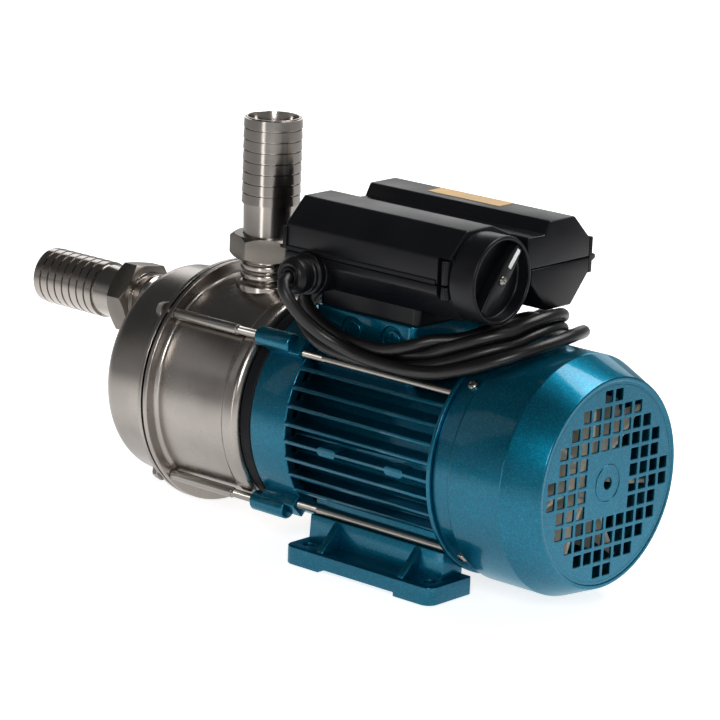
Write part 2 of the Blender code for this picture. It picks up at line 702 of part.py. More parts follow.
def shaft(rotor):
    """Stepped shaft from the impeller nut to the fan."""
    pump_step = FRONT_BEARING_FRONT - 0.002
    core_front = STATOR_X - ROTOR_LENGTH / 2 - 0.006
    core_back = STATOR_X + ROTOR_LENGTH / 2 + 0.006
    fan_step = REAR_BEARING_BACK + 0.002
    tip = -FAN_END_GAP + 0.002
    profile = [(SHAFT_TIP, SHAFT_END_RADIUS - 0.0008), (SHAFT_TIP + 0.0008, SHAFT_END_RADIUS)]
    profile += [(pump_step, SHAFT_END_RADIUS), (pump_step, SHAFT_JOURNAL), (core_front, SHAFT_JOURNAL)]
    profile += [(core_front, SHAFT_CORE), (core_back, SHAFT_CORE), (core_back, SHAFT_JOURNAL)]
    profile += [(fan_step, SHAFT_JOURNAL), (fan_step, SHAFT_END_RADIUS), (tip, SHAFT_END_RADIUS)]
    solid("shaft", turned(profile, PORT_STEPS), SHAFT_STEEL, rotor)


def rotor_core(rotor):
    """Laminated squirrel-cage core on the shaft."""
    start = STATOR_X - ROTOR_LENGTH / 2
    end = STATOR_X + ROTOR_LENGTH / 2
    ring = ROTOR_RADIUS - 0.002
    profile = [(start - 0.004, SHAFT_CORE + SEAT_GAP), (start - 0.004, ring), (start, ring), (start, ROTOR_RADIUS)]
    profile += [(end, ROTOR_RADIUS), (end, ring), (end + 0.004, ring), (end + 0.004, SHAFT_CORE + SEAT_GAP)]
    solid("rotor_core", turned(profile, INNER_STEPS, closed=True), LAMINATION, rotor)


def bearing(name, line, start):
    """Sealed ball bearing, as one ring of its outer size and bore."""
    ring = tube(BEARING_RADIUS, SHAFT_JOURNAL + SEAT_GAP, start, start + BEARING_WIDTH, INNER_STEPS)
    solid(name, ring, SHAFT_STEEL, line)


def stator(line):
    """Wound stator, bonded into one body: laminated core with a winding head at each end."""
    front = STATOR_X - STATOR_LENGTH / 2
    back = STATOR_X + STATOR_LENGTH / 2
    outer = STATOR_RADIUS - SEAT_GAP
    profile = [(front - WINDING_LENGTH, WINDING_BORE), (front - WINDING_LENGTH, WINDING_RADIUS)]
    profile += [(front, WINDING_RADIUS), (front, outer), (back, outer), (back, WINDING_RADIUS)]
    profile += [(back + WINDING_LENGTH, WINDING_RADIUS), (back + WINDING_LENGTH, WINDING_BORE)]
    solid("stator", turned(profile, WIDE_STEPS, closed=True), COPPER, line)


def adapter_ring(line):
    """Black ring between the rear shell and the adapter."""
    solid("adapter_ring", tube(RING_RADIUS, RING_BORE, RING_FRONT, RING_BACK, WIDE_STEPS), BLACK_RING, line)


def adapter(line):
    """Front bracket: drum, bearing hub and four lugs for studs and bolts."""
    wall = ADAPTER_FRONT + ADAPTER_WALL
    hub = BEARING_RADIUS + 0.006
    pocket = FRONT_BEARING_FRONT - SEAT_GAP
    shaft_hole = SHAFT_JOURNAL + 0.003
    profile = [(ADAPTER_FRONT, shaft_hole), (ADAPTER_FRONT, ADAPTER_RADIUS - 0.001)]
    profile += [(ADAPTER_FRONT + 0.001, ADAPTER_RADIUS), (ADAPTER_BACK, ADAPTER_RADIUS)]
    profile += [(ADAPTER_BACK, ADAPTER_RADIUS - ADAPTER_WALL), (wall, ADAPTER_RADIUS - ADAPTER_WALL), (wall, hub)]
    profile += [(FRONT_BEARING_BACK, hub), (FRONT_BEARING_BACK, BEARING_RADIUS + SEAT_GAP)]
    profile += [(pocket, BEARING_RADIUS + SEAT_GAP), (pocket, shaft_hole)]
    bracket = solid("adapter", turned(profile, WIDE_STEPS, closed=True), TEAL, line)
    lug_front = ADAPTER_FRONT - LUG_FORWARD
    lug_back = lug_front + LUG_LENGTH
    for quadrant in range(4):
        y, z = on_circle(STUD_CIRCLE, STUD_ANGLE, quadrant)
        boss = solid(f"lug_{quadrant}", rod(LUG_RADIUS, lug_front, lug_back, PORT_STEPS), None, line, (0.0, y, z))
        cut(bracket, boss, "UNION")
        web = [(-LUG_RADIUS, -0.016), (LUG_RADIUS, -0.016), (LUG_RADIUS, 0.0), (-LUG_RADIUS, 0.0)]
        inward = math.atan2(z, y) - math.pi / 2
        block = solid(f"lug_web_{quadrant}", prism(web, ADAPTER_FRONT + 0.0005, ADAPTER_BACK - 0.0005), None, line,
                      (0.0, y, z), (inward, 0.0, 0.0))
        cut(bracket, block, "UNION")
    for quadrant in range(4):
        y, z = on_circle(STUD_CIRCLE, STUD_ANGLE, quadrant)
        bore = solid(f"lug_bore_{quadrant}", rod(STUD_RADIUS + SEAT_GAP, lug_front - 0.002,
                                                 ADAPTER_FRONT + THREAD_DEPTH + SEAT_GAP, ROD_STEPS), None, line, (0.0, y, z))
        cut(bracket, bore)
        y, z = on_circle(BOLT_CIRCLE, BOLT_ANGLE, quadrant)
        bore = solid(f"bolt_bore_{quadrant}", rod(BOLT_RADIUS + SEAT_GAP, ADAPTER_BACK - THREAD_DEPTH - SEAT_GAP,
                                                  ADAPTER_BACK + 0.004, ROD_STEPS), None, line, (0.0, y, z))
        cut(bracket, bore)


def fin_side(side, heights):
    """Return the outline of one side's horizontal fins, in the order of heights."""
    points = []
    for index, height in enumerate(heights):
        upward = -1 if heights[0] > heights[-1] else 1
        root = FIN_THICKNESS / 2
        tip = root - FIN_TAPER / 2
        for offset, at_tip in ((-upward * root, False), (-upward * tip, True), (upward * tip, True),
                               (upward * root, False)):
            z = height + offset
            radius = FIN_RADIUS if at_tip else CORE_RADIUS
            points.append((side * math.sqrt(radius ** 2 - z ** 2), z))
        if index + 1 < len(heights):
            middle = (height + heights[index + 1]) / 2
            points.append((side * math.sqrt(CORE_RADIUS ** 2 - middle ** 2), middle))
    return points


def housing_outline():
    """Return the housing's cross-section: near fins, belly fins, far fins, round top."""
    heights = [FIN_TOP - FIN_PITCH * fin for fin in range(FIN_COUNT)]
    points = fin_side(-1, heights)
    half = FIN_THICKNESS / 2
    for fin in range(BELLY_FIN_COUNT):
        middle = BELLY_FIN_PITCH * (fin - (BELLY_FIN_COUNT - 1) / 2)
        for offset, radius in ((-half, CORE_RADIUS), (-half, BELLY_FIN_RADIUS), (half, BELLY_FIN_RADIUS),
                               (half, CORE_RADIUS)):
            y = middle + offset
            points.append((y, -math.sqrt(radius ** 2 - y ** 2)))
    points += fin_side(1, heights[::-1])
    start = math.atan2(points[-1][1], points[-1][0])
    end = math.pi - start
    for step in range(1, 16):
        turn = start + (end - start) * step / 16
        points.append((CORE_RADIUS * math.cos(turn), CORE_RADIUS * math.sin(turn)))
    return points


def motor_housing(line):
    """Finned housing with the terminal pedestal cast on top."""
    body = solid("motor_housing", prism(housing_outline(), HOUSING_FRONT, HOUSING_BACK), TEAL, line)
    half_x = PEDESTAL_LENGTH / 2
    half_y = PEDESTAL_WIDTH / 2
    outline = rounded_box((PEDESTAL_X - half_x, -half_y), (PEDESTAL_X + half_x, half_y), PEDESTAL_CORNER)
    pedestal = solid("pedestal", prism(outline, 0.024, PEDESTAL_TOP, "Z"), None, line)
    cut(body, pedestal, "UNION")
    bore = solid("stator_bore", rod(STATOR_RADIUS, HOUSING_FRONT - 0.01, HOUSING_BACK + 0.01, WIDE_STEPS), None, line)
    cut(body, bore)
    wall = PEDESTAL_WALL
    outline = rounded_box((PEDESTAL_X - half_x + wall, -half_y + wall), (PEDESTAL_X + half_x - wall, half_y - wall),
                          PEDESTAL_CORNER)
    pocket = solid("pedestal_pocket", prism(outline, PEDESTAL_TOP - POCKET_DEPTH, PEDESTAL_TOP + 0.01, "Z"),
                   None, line)
    cut(body, pocket)
    slope = [(HOUSING_FRONT - 0.003, CORE_RADIUS + 0.001), (HOUSING_FRONT - 0.003, FIN_RADIUS + 0.004)]
    slope += [(HOUSING_FRONT + FIN_BEVEL + 0.003, FIN_RADIUS + 0.004), (HOUSING_FRONT + 0.002, CORE_RADIUS + 0.001)]
    bevel = solid("fin_bevel", turned(slope, WIDE_STEPS, closed=True), None, line)
    cut(body, bevel)
    for side in (-0.5, 0.5):
        groove = solid(f"knockout_{side}", tube(KNOCKOUT_RADIUS, KNOCKOUT_RADIUS - 0.0012, half_y - 0.0008,
                                                half_y + 0.004, PORT_STEPS),
                       None, line, (PEDESTAL_X + side * KNOCKOUT_SPACING, 0.0, KNOCKOUT_HEIGHT),
                       (0.0, 0.0, -math.pi / 2))
        cut(body, groove)


def foot(name, line, side):
    """One foot rail: plate, cheek under the housing, two bolt holes and a relief."""
    ground = -SHAFT_HEIGHT
    top = ground + FOOT_PLATE
    bolt_clear = BOLT_CIRCLE * math.cos(math.radians(BOLT_ANGLE)) - BOLT_RADIUS - 0.0008
    bolt_low = -BOLT_CIRCLE * math.sin(math.radians(BOLT_ANGLE)) - BOLT_RADIUS - 0.0008
    start = FOOT_X - FOOT_LENGTH / 2
    end = FOOT_X + FOOT_LENGTH / 2
    plate_outline = rounded_box((start, FOOT_INNER), (end, FOOT_EDGE), 0.002, 2)
    plate = [(x, side * y) for x, y in plate_outline]
    rail = solid(name, prism(plate, ground, top, "Z"), TEAL, line)
    wall = [(FOOT_INNER, top - 0.002), (0.050, top - 0.002), (bolt_clear + 0.0042, bolt_low)]
    fin_clear = FIN_TOP - FIN_PITCH * (FIN_COUNT - 1) - FIN_THICKNESS / 2 - SEAT_GAP
    wall += [(bolt_clear, bolt_low), (bolt_clear, fin_clear), (FOOT_INNER, fin_clear)]
    web = solid(f"{name}_web", prism([(side * y, z) for y, z in wall], start + 0.004, HOUSING_BACK), None, line)
    cut(rail, web, "UNION")
    cheek = [(bolt_clear - 0.002, top - 0.0015), (0.0588, top - 0.0015), (0.0555, bolt_low)]
    cheek += [(bolt_clear - 0.002, bolt_low)]
    block = solid(f"{name}_cheek", prism([(side * y, z) for y, z in cheek], FOOT_X - CHEEK_LENGTH / 2,
                                         FOOT_X + CHEEK_LENGTH / 2), None, line)
    cut(rail, block, "UNION")
    barrel = solid(f"{name}_saddle", rod(CORE_RADIUS + SEAT_GAP, start - 0.01, end + 0.01, 64), None, line)
    cut(rail, barrel)
    relief = rounded_box((FOOT_X - RELIEF_LENGTH / 2, -0.09), (FOOT_X + RELIEF_LENGTH / 2, 0.09), 0.001, 1)
    under = solid(f"{name}_relief", prism(relief, ground - 0.004, ground + FOOT_RELIEF, "Z"), None, line)
    cut(rail, under)
    for along in (-0.5, 0.5):
        hole = solid(f"{name}_hole_{along}", rod(FOOT_HOLE_RADIUS, -0.02, 0.02, 12), None, line,
                     (FOOT_X + along * FOOT_PITCH, side * FOOT_SPAN / 2, ground + FOOT_PLATE / 2),
                     (0.0, -math.pi / 2, 0.0))
        cut(rail, hole)


def end_shield(line):
    """Rear end shield: clamping flange, spigot for the cover and bearing hub."""
    hub = BEARING_RADIUS + 0.006
    pocket_back = REAR_BEARING_BACK + SEAT_GAP
    spigot = SHIELD_BACK + 0.008
    hub_back = pocket_back + 0.003
    cover_inside = COVER_RADIUS - COVER_WALL - SEAT_GAP
    shaft_hole = SHAFT_JOURNAL + 0.002
    profile = [(REAR_BEARING_FRONT, BEARING_RADIUS + SEAT_GAP), (REAR_BEARING_FRONT, hub), (SHIELD_FRONT, hub)]
    profile += [(SHIELD_FRONT, COVER_RADIUS + 0.0022), (SHIELD_BACK, COVER_RADIUS + 0.0022)]
    profile += [(SHIELD_BACK, cover_inside), (spigot, cover_inside), (spigot, cover_inside - 0.005)]
    profile += [(SHIELD_BACK + 0.002, cover_inside - 0.007), (SHIELD_BACK + 0.002, hub), (hub_back, hub - 0.002)]
    profile += [(hub_back, shaft_hole), (pocket_back, shaft_hole), (pocket_back, BEARING_RADIUS + SEAT_GAP)]
    solid("end_shield", turned(profile, WIDE_STEPS, closed=True), TEAL, line)


def fan(rotor):
    """Radial fan with straight blades on a hub, which cools either way round."""
    bore = SHAFT_END_RADIUS + SEAT_GAP
    start = -FAN_END_GAP - FAN_WIDTH
    outline = star(FAN_HUB, FAN_RADIUS, FAN_BLADE_THICKNESS, FAN_BLADES)
    stations = [(start, 1.0, bore), (-FAN_END_GAP, 1.0, bore)]
    solid("fan", sleeve(outline, bore, stations), FAN_PLASTIC, rotor)


def grille_cells():
    """Yield the (column, row) place of each square hole, counted from the middle."""
    rows = len(GRILLE_ROWS)
    for row, count in enumerate(GRILLE_ROWS):
        blank = GRILLE_BLANK if abs(row - (rows - 1) / 2) < GRILLE_BLANK / 2 else 0
        across = count + blank
        for column in range(across):
            place = column - (across - 1) / 2
            if blank and abs(place) < blank / 2:
                continue
            yield place, (rows - 1) / 2 - row


def grille_cutter(work):
    """Fill the mesh with one square peg for each hole of the grille."""
    half = GRILLE_HOLE / 2
    for column, row in grille_cells():
        y = column * GRILLE_PITCH
        z = row * GRILLE_PITCH
        peg = [(y - half, z - half), (y + half, z - half), (y + half, z + half), (y - half, z + half)]
        prism(peg, -0.008, 0.006)(work)


def fan_cover(line):
    """Pressed fan cover: edge band with a bead, barrel, wider crown and punched grille."""
    edge = -COVER_LENGTH
    bead = edge + 0.013
    crown = -CROWN_LENGTH
    face = -RIM_HEIGHT
    wall = COVER_WALL
    profile = [(edge, COVER_RADIUS - wall), (edge, COVER_RADIUS), (bead - 0.002, COVER_RADIUS)]
    profile += [(bead, COVER_RADIUS + COVER_BEAD), (bead + 0.002, COVER_RADIUS)]
    profile += [(crown, COVER_RADIUS), (crown + 0.002, CROWN_RADIUS), (-0.0095, CROWN_RADIUS)]
    profile += arc((-0.0095, RIM_RADIUS), CROWN_RADIUS - RIM_RADIUS, 62, 25, 2)
    profile += [(0.0, RIM_RADIUS), (face, RIM_RADIUS - 0.0016)]
    inside = [(face - wall, RIM_RADIUS - 0.003), (-0.0095, CROWN_RADIUS - wall)]
    inside += [(crown + 0.003, CROWN_RADIUS - wall)]
    cover = solid("fan_cover", turned(inside + profile, WIDE_STEPS), TEAL, line)
    pegs = solid("grille_pegs", grille_cutter, None, line, (0.0, 0.0, 0.0), (math.radians(GRILLE_TURN), 0.0, 0.0))
    cut(cover, pegs)
    centre = solid("grille_centre", rod(HUB_HOLE, -0.008, 0.006, ROD_STEPS), None, line)
    cut(cover, centre)


def bay_outline(offset, low, high, inset, edges):
    """Return one bay's outline between two heights, moved in by inset."""
    half = BAY_HALF_WIDTH - inset
    top_half = BAY_TOP_HALF - inset * 0.4
    top = BOX_TOP - inset
    bottom = BOX_BOTTOM + inset
    points = []
    if edges == "upper":
        points = [(-half, low), (-half, BOX_TOP - BOX_SHOULDER), (-top_half, top), (top_half, top)]
        points += [(half, BOX_TOP - BOX_SHOULDER), (half, low)]
    else:
        points = [(-half, high), (-half, BOX_BOTTOM + BOX_HIP), (-top_half, bottom), (top_half, bottom)]
        points += [(half, BOX_BOTTOM + BOX_HIP), (half, high)]
    return [(offset + y, z) for y, z in points]


def box_lid(line):
    """Upper half of the box: two bays and the shallow valley between them."""
    seam = BOX_SEAM + SEAT_GAP / 2
    near_top = [(-BAY_OFFSET - BAY_HALF_WIDTH, seam), (-BAY_OFFSET - BAY_HALF_WIDTH, BOX_TOP - BOX_SHOULDER)]
    near_top += [(-BAY_OFFSET - BAY_TOP_HALF, BOX_TOP), (-BAY_OFFSET + BAY_TOP_HALF, BOX_TOP)]
    near_top += [(VALLEY_NEAR, VALLEY_FLOOR), (VALLEY_NEAR + 0.004, VALLEY_FLOOR), (VALLEY_NEAR + 0.004, seam)]
    far_top = [(VALLEY_NEAR, seam), (VALLEY_NEAR, VALLEY_FLOOR), (VALLEY_FAR, VALLEY_FLOOR - 0.0005)]
    far_top += [(BAY_OFFSET - BAY_TOP_HALF, BOX_TOP), (BAY_OFFSET + BAY_TOP_HALF, BOX_TOP)]
    far_top += [(BAY_OFFSET + BAY_HALF_WIDTH, BOX_TOP - BOX_SHOULDER), (BAY_OFFSET + BAY_HALF_WIDTH, seam)]
    lid = solid("box_lid", prism(far_top, BOX_X, FAR_BAY_END), BLACK_PLASTIC, line)
    near = solid("lid_near_bay", prism(near_top, BOX_X, NEAR_BAY_END), None, line)
    cut(lid, near, "UNION")
    for name, offset, end in (("near", -BAY_OFFSET, NEAR_BAY_END), ("far", BAY_OFFSET, FAR_BAY_END)):
        outline = bay_outline(offset, seam - 0.004, 0.0, BOX_WALL, "upper")
        hollow = solid(f"lid_hollow_{name}", prism(outline, BOX_X + BOX_WALL, end - BOX_WALL), None, line)
        cut(lid, hollow)
    spindle_hole(line, lid)


def spindle_hole(line, target):
    """Open the near bay's end wall for the switch spindle."""
    hole = solid(f"{target.name}_spindle_hole", rod(SPINDLE_RADIUS + 0.0005, NEAR_BAY_END - 0.006,
                                                    NEAR_BAY_END + 0.004, PORT_STEPS),
                 None, line, (0.0, -BAY_OFFSET, SWITCH_HEIGHT))
    cut(target, hole)


def box_base(line):
    """Lower half of the box, its neck onto the pedestal and the gland boss."""
    seam = BOX_SEAM - SEAT_GAP / 2
    floor = BOX_BOTTOM + BOX_WALL
    far = bay_outline(BAY_OFFSET, 0.0, seam, 0.0, "lower")
    near = bay_outline(-BAY_OFFSET, 0.0, seam, 0.0, "lower")
    base = solid("box_base", prism(far, BOX_X, FAR_BAY_END), BLACK_PLASTIC, line)
    cut(base, solid("base_near_bay", prism(near, BOX_X, NEAR_BAY_END), None, line), "UNION")
    gap_half = BAY_OFFSET - BAY_HALF_WIDTH + 0.001
    bridge = [(-gap_half, floor + 0.004), (gap_half, floor + 0.004), (gap_half, seam), (-gap_half, seam)]
    cut(base, solid("base_bridge", prism(bridge, BOX_X, NEAR_BAY_END), None, line), "UNION")
    half = BOX_NECK_WIDTH / 2
    neck_outline = rounded_box((PEDESTAL_X - PEDESTAL_LENGTH / 2, -half), (PEDESTAL_X + PEDESTAL_LENGTH / 2, half),
                               PEDESTAL_CORNER, 2)
    neck = solid("base_neck", prism(neck_outline, PEDESTAL_TOP + SEAT_GAP, BOX_BOTTOM + 0.002, "Z"), None, line)
    cut(base, neck, "UNION")
    boss = solid("gland_boss", rod(BOSS_RADIUS, 0.038, -BAY_NEAR_FACE, PORT_STEPS), None, line,
                 (GLAND_X, 0.0, GLAND_HEIGHT), (0.0, 0.0, -math.pi / 2))
    cut(base, boss, "UNION")
    for name, offset, end in (("near", -BAY_OFFSET, NEAR_BAY_END), ("far", BAY_OFFSET, FAR_BAY_END)):
        outline = bay_outline(offset, 0.0, seam + 0.004, BOX_WALL, "lower")
        hollow = solid(f"base_hollow_{name}", prism(outline, BOX_X + BOX_WALL, end - BOX_WALL), None, line)
        cut(base, hollow)
    way = solid("gland_way", rod(CORD_RADIUS + 0.001, 0.030, 0.06, PORT_STEPS), None, line,
                (GLAND_X, 0.0, GLAND_HEIGHT), (0.0, 0.0, -math.pi / 2))
    cut(base, way)
    spindle_hole(line, base)


def box_latch(line):
    """Small latch over the seam on the far wall, near the fan end."""
    face = BAY_OFFSET + BAY_HALF_WIDTH + SEAT_GAP
    low = BOX_SEAM - LATCH_HEIGHT * 0.45
    outline = [(face, low), (face + LATCH_THICKNESS * 0.6, low), (face + LATCH_THICKNESS, low + 0.002)]
    outline += [(face + LATCH_THICKNESS, low + 0.005), (face + LATCH_THICKNESS * 0.6, low + 0.007)]
    outline += [(face + LATCH_THICKNESS * 0.6, BOX_TOP - BOX_SHOULDER), (face, BOX_TOP - BOX_SHOULDER)]
    start = FAR_BAY_END - 0.004 - LATCH_LENGTH
    solid("box_latch", prism(outline, start, start + LATCH_LENGTH), BLACK_PLASTIC, line)


def switch_drum(line):
    """Round switch housing with a recessed face on the near bay's end."""
    start = NEAR_BAY_END + SEAT_GAP
    end = start + DRUM_LENGTH
    bore = SPINDLE_RADIUS + 0.0005
    profile = [(start, bore), (start, DRUM_RADIUS), (end - 0.001, DRUM_RADIUS), (end, DRUM_RADIUS - 0.0008)]
    profile += [(end, DRUM_RADIUS - DRUM_RIM), (end - DRUM_RECESS, DRUM_RADIUS - DRUM_RIM - 0.0005)]
    profile += [(end - DRUM_RECESS, bore)]
    solid("switch_drum", turned(profile, WIDE_STEPS, closed=True), BLACK_PLASTIC, line, (0.0, -BAY_OFFSET, SWITCH_HEIGHT))


def switch_body(line):
    """Cam block of the switch, inside the near bay."""
    end = NEAR_BAY_END - BOX_WALL - SEAT_GAP
    start = end - SWITCH_BODY_LENGTH
    radius = SWITCH_HEIGHT - BOX_BOTTOM - BOX_WALL - SEAT_GAP
    profile = tube(min(radius, SWITCH_BODY_RADIUS), SPINDLE_RADIUS + 0.0005, start, end, PORT_STEPS)
    solid("switch_body", profile, BLACK_PLASTIC, line, (0.0, -BAY_OFFSET, SWITCH_HEIGHT))


def switch_lever(pivot):
    """Bar lever, spindle and screw, which turn together on the switch's axis."""
    floor = NEAR_BAY_END + SEAT_GAP + DRUM_LENGTH - DRUM_RECESS
    start = floor + SEAT_GAP
    half = LEVER_LENGTH / 2
    width = LEVER_WIDTH / 2
    outline = [(-width * 0.62, -half), (width * 0.62, -half), (width, -half * 0.35), (width, half * 0.35)]
    outline += [(width * 0.55, half), (-width * 0.55, half), (-width, half * 0.35), (-width, -half * 0.35)]
    lean = (-math.radians(LEVER_ANGLE), 0.0, 0.0)
    bar = solid("switch_lever", prism(outline, start, start + LEVER_HEIGHT), BLACK_PLASTIC, pivot, (0.0, 0.0, 0.0), lean)
    bevel = bar.modifiers.new("soft_edges", "BEVEL")
    bevel.width = 0.0008
    bevel.segments = 1
    solid("switch_spindle", rod(SPINDLE_RADIUS, floor - SPINDLE_LENGTH, floor, ROD_STEPS), ZINC, pivot)
    top = start + LEVER_HEIGHT + SEAT_GAP
    profile = [(top, LEVER_SCREW_RADIUS), (top + LEVER_SCREW_HEIGHT * 0.6, LEVER_SCREW_RADIUS)]
    profile += [(top + LEVER_SCREW_HEIGHT, LEVER_SCREW_RADIUS * 0.6)]
    solid("lever_screw", turned(profile, 12), ZINC, pivot)


def capacitor(line):
    """Run capacitor lying in the far bay."""
    start = BOX_X + BOX_WALL + 0.012
    radius = CAPACITOR_RADIUS
    profile = [(start, radius - 0.001), (start + 0.001, radius)]
    profile += [(start + CAPACITOR_LENGTH, radius), (start + CAPACITOR_LENGTH, radius - 0.002)]
    profile += [(start + CAPACITOR_LENGTH - 0.0015, radius - 0.003)]
    height = BOX_BOTTOM + BOX_WALL + SEAT_GAP + radius
    solid("capacitor", turned(profile, PORT_STEPS), CAPACITOR_WHITE, line, (0.0, BAY_OFFSET, height))


def terminal_block(line):
    """Terminal block in the pedestal's pocket."""
    floor = PEDESTAL_TOP - POCKET_DEPTH + SEAT_GAP
    half_x = TERMINAL_LENGTH / 2
    half_y = TERMINAL_WIDTH / 2
    outline = [(-half_y, 0.0), (half_y, 0.0), (half_y, TERMINAL_HEIGHT * 0.5)]
    outline += [(half_y * 0.4, TERMINAL_HEIGHT), (-half_y * 0.4, TERMINAL_HEIGHT), (-half_y, TERMINAL_HEIGHT * 0.5)]
    solid("terminal_block", prism(outline, -half_x, half_x), BLACK_PLASTIC, line, (PEDESTAL_X, 0.0, floor))


def cable_gland(line):
    """Gland body and its domed nut on the near wall."""
    turn = (0.0, 0.0, -math.pi / 2)
    place = (GLAND_X, 0.0, GLAND_HEIGHT)
    start = -BAY_NEAR_FACE + SEAT_GAP
    bore = CORD_RADIUS + SEAT_GAP
    body = [(start, bore), (start, GLAND_RADIUS), (start + GLAND_BODY * 0.55, GLAND_RADIUS)]
    body += [(start + GLAND_BODY * 0.60, GLAND_RADIUS - 0.0012), (start + GLAND_BODY, GLAND_RADIUS - 0.0012)]
    body += [(start + GLAND_BODY, bore)]
    solid("gland_body", turned(body, PORT_STEPS, closed=True), BLACK_PLASTIC, line, place, turn)
    first = start + GLAND_BODY + SEAT_GAP
    last = first + GLAND_NUT
    nut = [(first, bore), (first, GLAND_NUT_RADIUS), (first + GLAND_NUT * 0.5, GLAND_NUT_RADIUS)]
    nut += arc((first + GLAND_NUT * 0.5, GLAND_NUT_RADIUS - GLAND_NUT * 0.5), GLAND_NUT * 0.5, 60, 0, 2)
    nut += [(last, bore)]
    solid("gland_nut", turned(nut, PORT_STEPS, closed=True), BLACK_PLASTIC, line, place, turn)


def smooth_path(points, count):
    """Read count points, evenly by length, from a smooth curve through the given points."""
    fine = []
    for index in range(len(points) - 1):
        before = points[max(index - 1, 0)]
        first = points[index]
        second = points[index + 1]
        after = points[min(index + 2, len(points) - 1)]
        for step in range(24):
            t = step / 24
            place = []
            for a, b, c, d in zip(before, first, second, after):
                place.append(0.5 * (2 * b + (c - a) * t + (2 * a - 5 * b + 4 * c - d) * t * t
                                    + (3 * b - a - 3 * c + d) * t ** 3))
            fine.append(tuple(place))
    fine.append(tuple(points[-1]))
    lengths = [0.0]
    for first, second in zip(fine, fine[1:]):
        lengths.append(lengths[-1] + math.dist(first, second))
    places = []
    cursor = 0
    for index in range(count):
        target = lengths[-1] * index / (count - 1)
        while cursor < len(lengths) - 2 and lengths[cursor + 1] < target:
            cursor += 1
        share = (target - lengths[cursor]) / (lengths[cursor + 1] - lengths[cursor])
        first = fine[cursor]
        second = fine[cursor + 1]
        places.append(tuple(a + (b - a) * share for a, b in zip(first, second)))
    return places


def cord_tube(name, line, points, count):
    """Plain round cord through hand-chosen points."""
    curve = bpy.data.curves.new(name, "CURVE")
    curve.dimensions = "3D"
    curve.bevel_depth = CORD_RADIUS
    curve.bevel_resolution = 2
    curve.use_fill_caps = True
    spline = curve.splines.new("POLY")
    path = smooth_path(points, count)
    spline.points.add(len(path) - 1)
    for point, place in zip(spline.points, path):
        point.co = (*place, 1.0)
    curve.materials.append(material(BLACK_RUBBER))
    made = bpy.data.objects.new(name, curve)
    made.parent = line
    bpy.context.scene.collection.objects.link(made)
    return made


# Half of the coil bundle's middle line, on the near side: (x, y, z, half width, half height,
# tilt in degrees of its width, down outwards). The far side mirrors it.
COIL_SIDE = (
    (-0.2140, 0.0000, 0.0735, 0.0090, 0.0060, 0.0), (-0.2110, -0.0200, 0.0725, 0.0090, 0.0058, 10.0),
    (-0.2040, -0.0380, 0.0705, 0.0080, 0.0055, 25.0), (-0.1920, -0.0485, 0.0665, 0.0075, 0.0052, 40.0),
    (-0.1780, -0.0510, 0.0595, 0.0080, 0.0052, 45.0), (-0.1500, -0.0510, 0.0555, 0.0088, 0.0055, 45.0),
    (-0.1120, -0.0505, 0.0555, 0.0088, 0.0055, 45.0), (-0.0890, -0.0450, 0.0600, 0.0110, 0.0055, 38.0),
    (-0.0660, -0.0310, 0.0690, 0.0180, 0.0060, 20.0), (-0.0520, 0.0000, 0.0765, 0.0280, 0.0060, -12.0),
)


def cord_coil(line):
    """Outer shape of the wound cord: one ring-shaped bundle over the motor's shoulders."""
    count = 40
    far = [(place[0], -place[1]) + place[2:] for place in COIL_SIDE[-2:0:-1]]
    loop = list(COIL_SIDE) + far
    path = smooth_path(loop + [loop[0]], count + 1)[:-1]

    def fill(work):
        rings = []
        for index, place in enumerate(path):
            before = path[index - 1]
            after = path[(index + 1) % count]
            along = (after[0] - before[0], after[1] - before[1])
            length = math.hypot(*along)
            across = (along[1] / length, -along[0] / length)
            tilt = math.radians(place[5])
            ring = []
            for step in range(8):
                turn = math.tau * step / 8
                wide = place[3] * math.cos(turn)
                thin = place[4] * math.sin(turn)
                out = wide * math.cos(tilt) + thin * math.sin(tilt)
                up = thin * math.cos(tilt) - wide * math.sin(tilt)
                ring.append(work.verts.new((place[0] + across[0] * out, place[1] + across[1] * out, place[2] + up)))
            rings.append(ring)
        for first, second in zip(rings, rings[1:] + rings[:1]):
            skin(work, first, second)
    solid("cord_coil", fill, BLACK_RUBBER, line)


def cord(line):
    """Lead from the gland to the coil, the coil, the tail and the moulded plug."""
    cord_tube("cord_lead", line, LEAD_POINTS, 10)
    cord_coil(line)
    cord_tube("cord_tail", line, TAIL_POINTS, 20)
    plug(line)


# Hand-chosen points of the two loose stretches, and the end of the plug's strain relief
LEAD_POINTS = (
    (GLAND_X, GLAND_FRONT - SEAT_GAP, GLAND_HEIGHT), (GLAND_X, -0.0765, 0.0935),
    (GLAND_X + 0.002, -0.0790, 0.0880), (GLAND_X + 0.006, -0.0770, 0.0800),
    (GLAND_X + 0.013, -0.0715, 0.0710), (GLAND_X + 0.024, -0.0650, 0.0625),
)
PLUG_PLACE = (-0.1180, 0.0960, PLUG_RADIUS + SEAT_GAP - SHAFT_HEIGHT)
TAIL_POINTS = (
    (-0.1300, 0.0577, 0.0625), (-0.1180, 0.0590, 0.0625), (-0.1060, 0.0650, 0.0600), (-0.0970, 0.0740, 0.0500),
    (-0.0920, 0.0800, 0.0300), (-0.0900, 0.0830, 0.0050), (-0.0890, 0.0860, -0.0200), (-0.0900, 0.0900, -0.0400),
    (-0.0960, 0.0945, -0.0520), (PLUG_PLACE[0] + 0.0100, PLUG_PLACE[1], PLUG_PLACE[2]),
    (PLUG_PLACE[0] + 2 * SEAT_GAP, PLUG_PLACE[1], PLUG_PLACE[2]),
)


